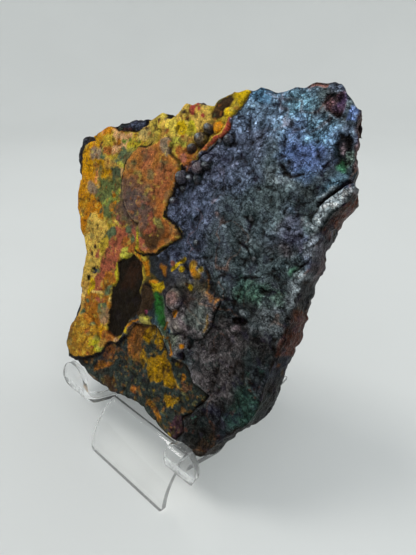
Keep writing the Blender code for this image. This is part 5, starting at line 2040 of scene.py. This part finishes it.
        rows = self.rim_layers(points[rim], front[rim], self.back_depth(points[rim]))
        vertices = np.vstack([self.place(points, front), *rows, self.back_places(coarse, coarse_rim)])
        skin = faces.tolist() + self.skin(len(points), rim, coarse_faces, coarse_rim)
        thing = make_object("turgite_plate", vertices, skin, material)
        self.dress(thing, paint, rim, vertices[len(points) :])
        return thing


@dataclass(frozen=True)
class Lamp:
    """A soft square light, in metres and watts."""

    name: str
    at: Place
    size: float
    power: float
    tint: Place

    def hang(self, aim: Place) -> None:
        """Puts the light in the scene, facing a place."""
        data = bpy.data.lights.new(self.name, "AREA")
        data.shape = "SQUARE"
        data.size = self.size
        data.energy = self.power
        data.color = self.tint
        thing = bpy.data.objects.new(self.name, data)
        thing.location = self.at
        thing.rotation_mode = "QUATERNION"
        thing.rotation_quaternion = (Vector(aim) - Vector(self.at)).to_track_quat("-Z", "Y")
        bpy.context.scene.collection.objects.link(thing)


@dataclass
class Studio:
    """Floor, soft lights and the camera: a key from the upper left, a weak fill and an even pale surround.

    The camera's place is in millimetres, and the rest in metres.
    """

    camera_at: Place = (99.3, -89.6, 138.0)
    right: Place = (0.7604, 0.6494, 0.0)
    up: Place = (-0.3345, 0.3916, 0.8572)
    focal: float = 27.24
    sensor: float = 36.0
    sight: Pair = (0.01, 20.0)
    floor_radius: float = 0.9
    floor_bend: float = 0.35
    floor_steps: int = 96
    bend_step: int = 6
    wall_height: float = 0.8
    aim: Place = (0.0, 0.0, 0.06)
    lamps: tuple[Lamp, ...] = (
        Lamp("key", (-0.28, -0.04, 0.82), 0.24, 2.0, (1.0, 0.98, 0.95)),
        Lamp("fill", (0.45, -0.30, 0.60), 0.60, 0.8, (0.93, 0.97, 1.0)),
        Lamp("rear", (0.30, 0.45, 0.80), 0.70, 2.0, (0.97, 1.0, 1.0)),
    )
    surround: Colour = (0.86, 0.88, 0.92, 1.0)
    surround_strength: float = 0.77

    def floor(self) -> None:
        """The floor, swept up into a pale wall all round."""
        flat = self.floor_radius - self.floor_bend
        profile = []
        for angle in (math.radians(degrees) for degrees in range(0, 91, self.bend_step)):
            rise_by = self.floor_bend * (1.0 - math.cos(angle))
            profile.append((flat + self.floor_bend * math.sin(angle), rise_by))
        profile.append((self.floor_radius, self.wall_height))
        steps = self.floor_steps
        vertices = [(0.0, 0.0, 0.0)]
        for radius, height in profile:
            for angle in (2.0 * math.pi * step / steps for step in range(steps)):
                vertices.append((radius * math.cos(angle), radius * math.sin(angle), height))
        faces: list[tuple[int, ...]] = [(0, 1 + step, 1 + (step + 1) % steps) for step in range(steps)]
        for low in range(1, 1 + (len(profile) - 1) * steps, steps):
            for step in range(steps):
                following = (step + 1) % steps
                faces.append((low + step, low + steps + step, low + steps + following, low + following))
        thing = make_object("pale_floor", np.array(vertices) / MM, faces, FloorFinish().material())
        thing.data.shade_smooth()

    def lights(self) -> None:
        """The lamps and the surround."""
        for lamp in self.lamps:
            lamp.hang(self.aim)
        world = bpy.data.worlds.new("surround")
        world.use_nodes = True
        background = world.node_tree.nodes["Background"]
        background.inputs["Color"].default_value = self.surround
        background.inputs["Strength"].default_value = self.surround_strength
        bpy.context.scene.world = world

    def camera(self) -> None:
        """The camera at the photograph's viewing angle."""
        data = bpy.data.cameras.new("camera")
        data.lens = self.focal
        data.sensor_width = self.sensor
        data.clip_start, data.clip_end = self.sight
        thing = bpy.data.objects.new("camera", data)
        right, up = Vector(self.right).normalized(), Vector(self.up).normalized()
        turn = Matrix((right, up, right.cross(up))).transposed().to_4x4()
        thing.matrix_world = Matrix.Translation(Vector(self.camera_at) * MM) @ turn
        bpy.context.scene.collection.objects.link(thing)
        bpy.context.scene.camera = thing

    def build(self) -> None:
        """Builds the whole studio."""
        self.floor()
        self.lights()
        self.camera()
        scene = bpy.context.scene
        scene.view_settings.view_transform = "Standard"
        scene.view_settings.look = "None"


def corners(box: tuple[Vector, Vector]) -> list[list[float]]:
    """A box as plain lists."""
    return [[float(value) for value in corner] for corner in box]


def main() -> None:
    """Builds the scene in order and reports each piece."""
    logging.basicConfig(level=logging.INFO, format="%(name)s: %(message)s")
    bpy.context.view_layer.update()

    easel, shift = Easel().build(AcrylicFinish().material())
    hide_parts("display_easel")
    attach(easel, BODY)
    log.info("easel: %d faces", len(easel.data.polygons))

    stone = Stone(shift).build(TurgiteFinish().material())
    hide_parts("turgite")
    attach(stone, BODY)
    log.info("stone: %d faces", len(stone.data.polygons))

    Studio().build()
    log.info("studio ready")


if __name__ == "__main__":
    main()
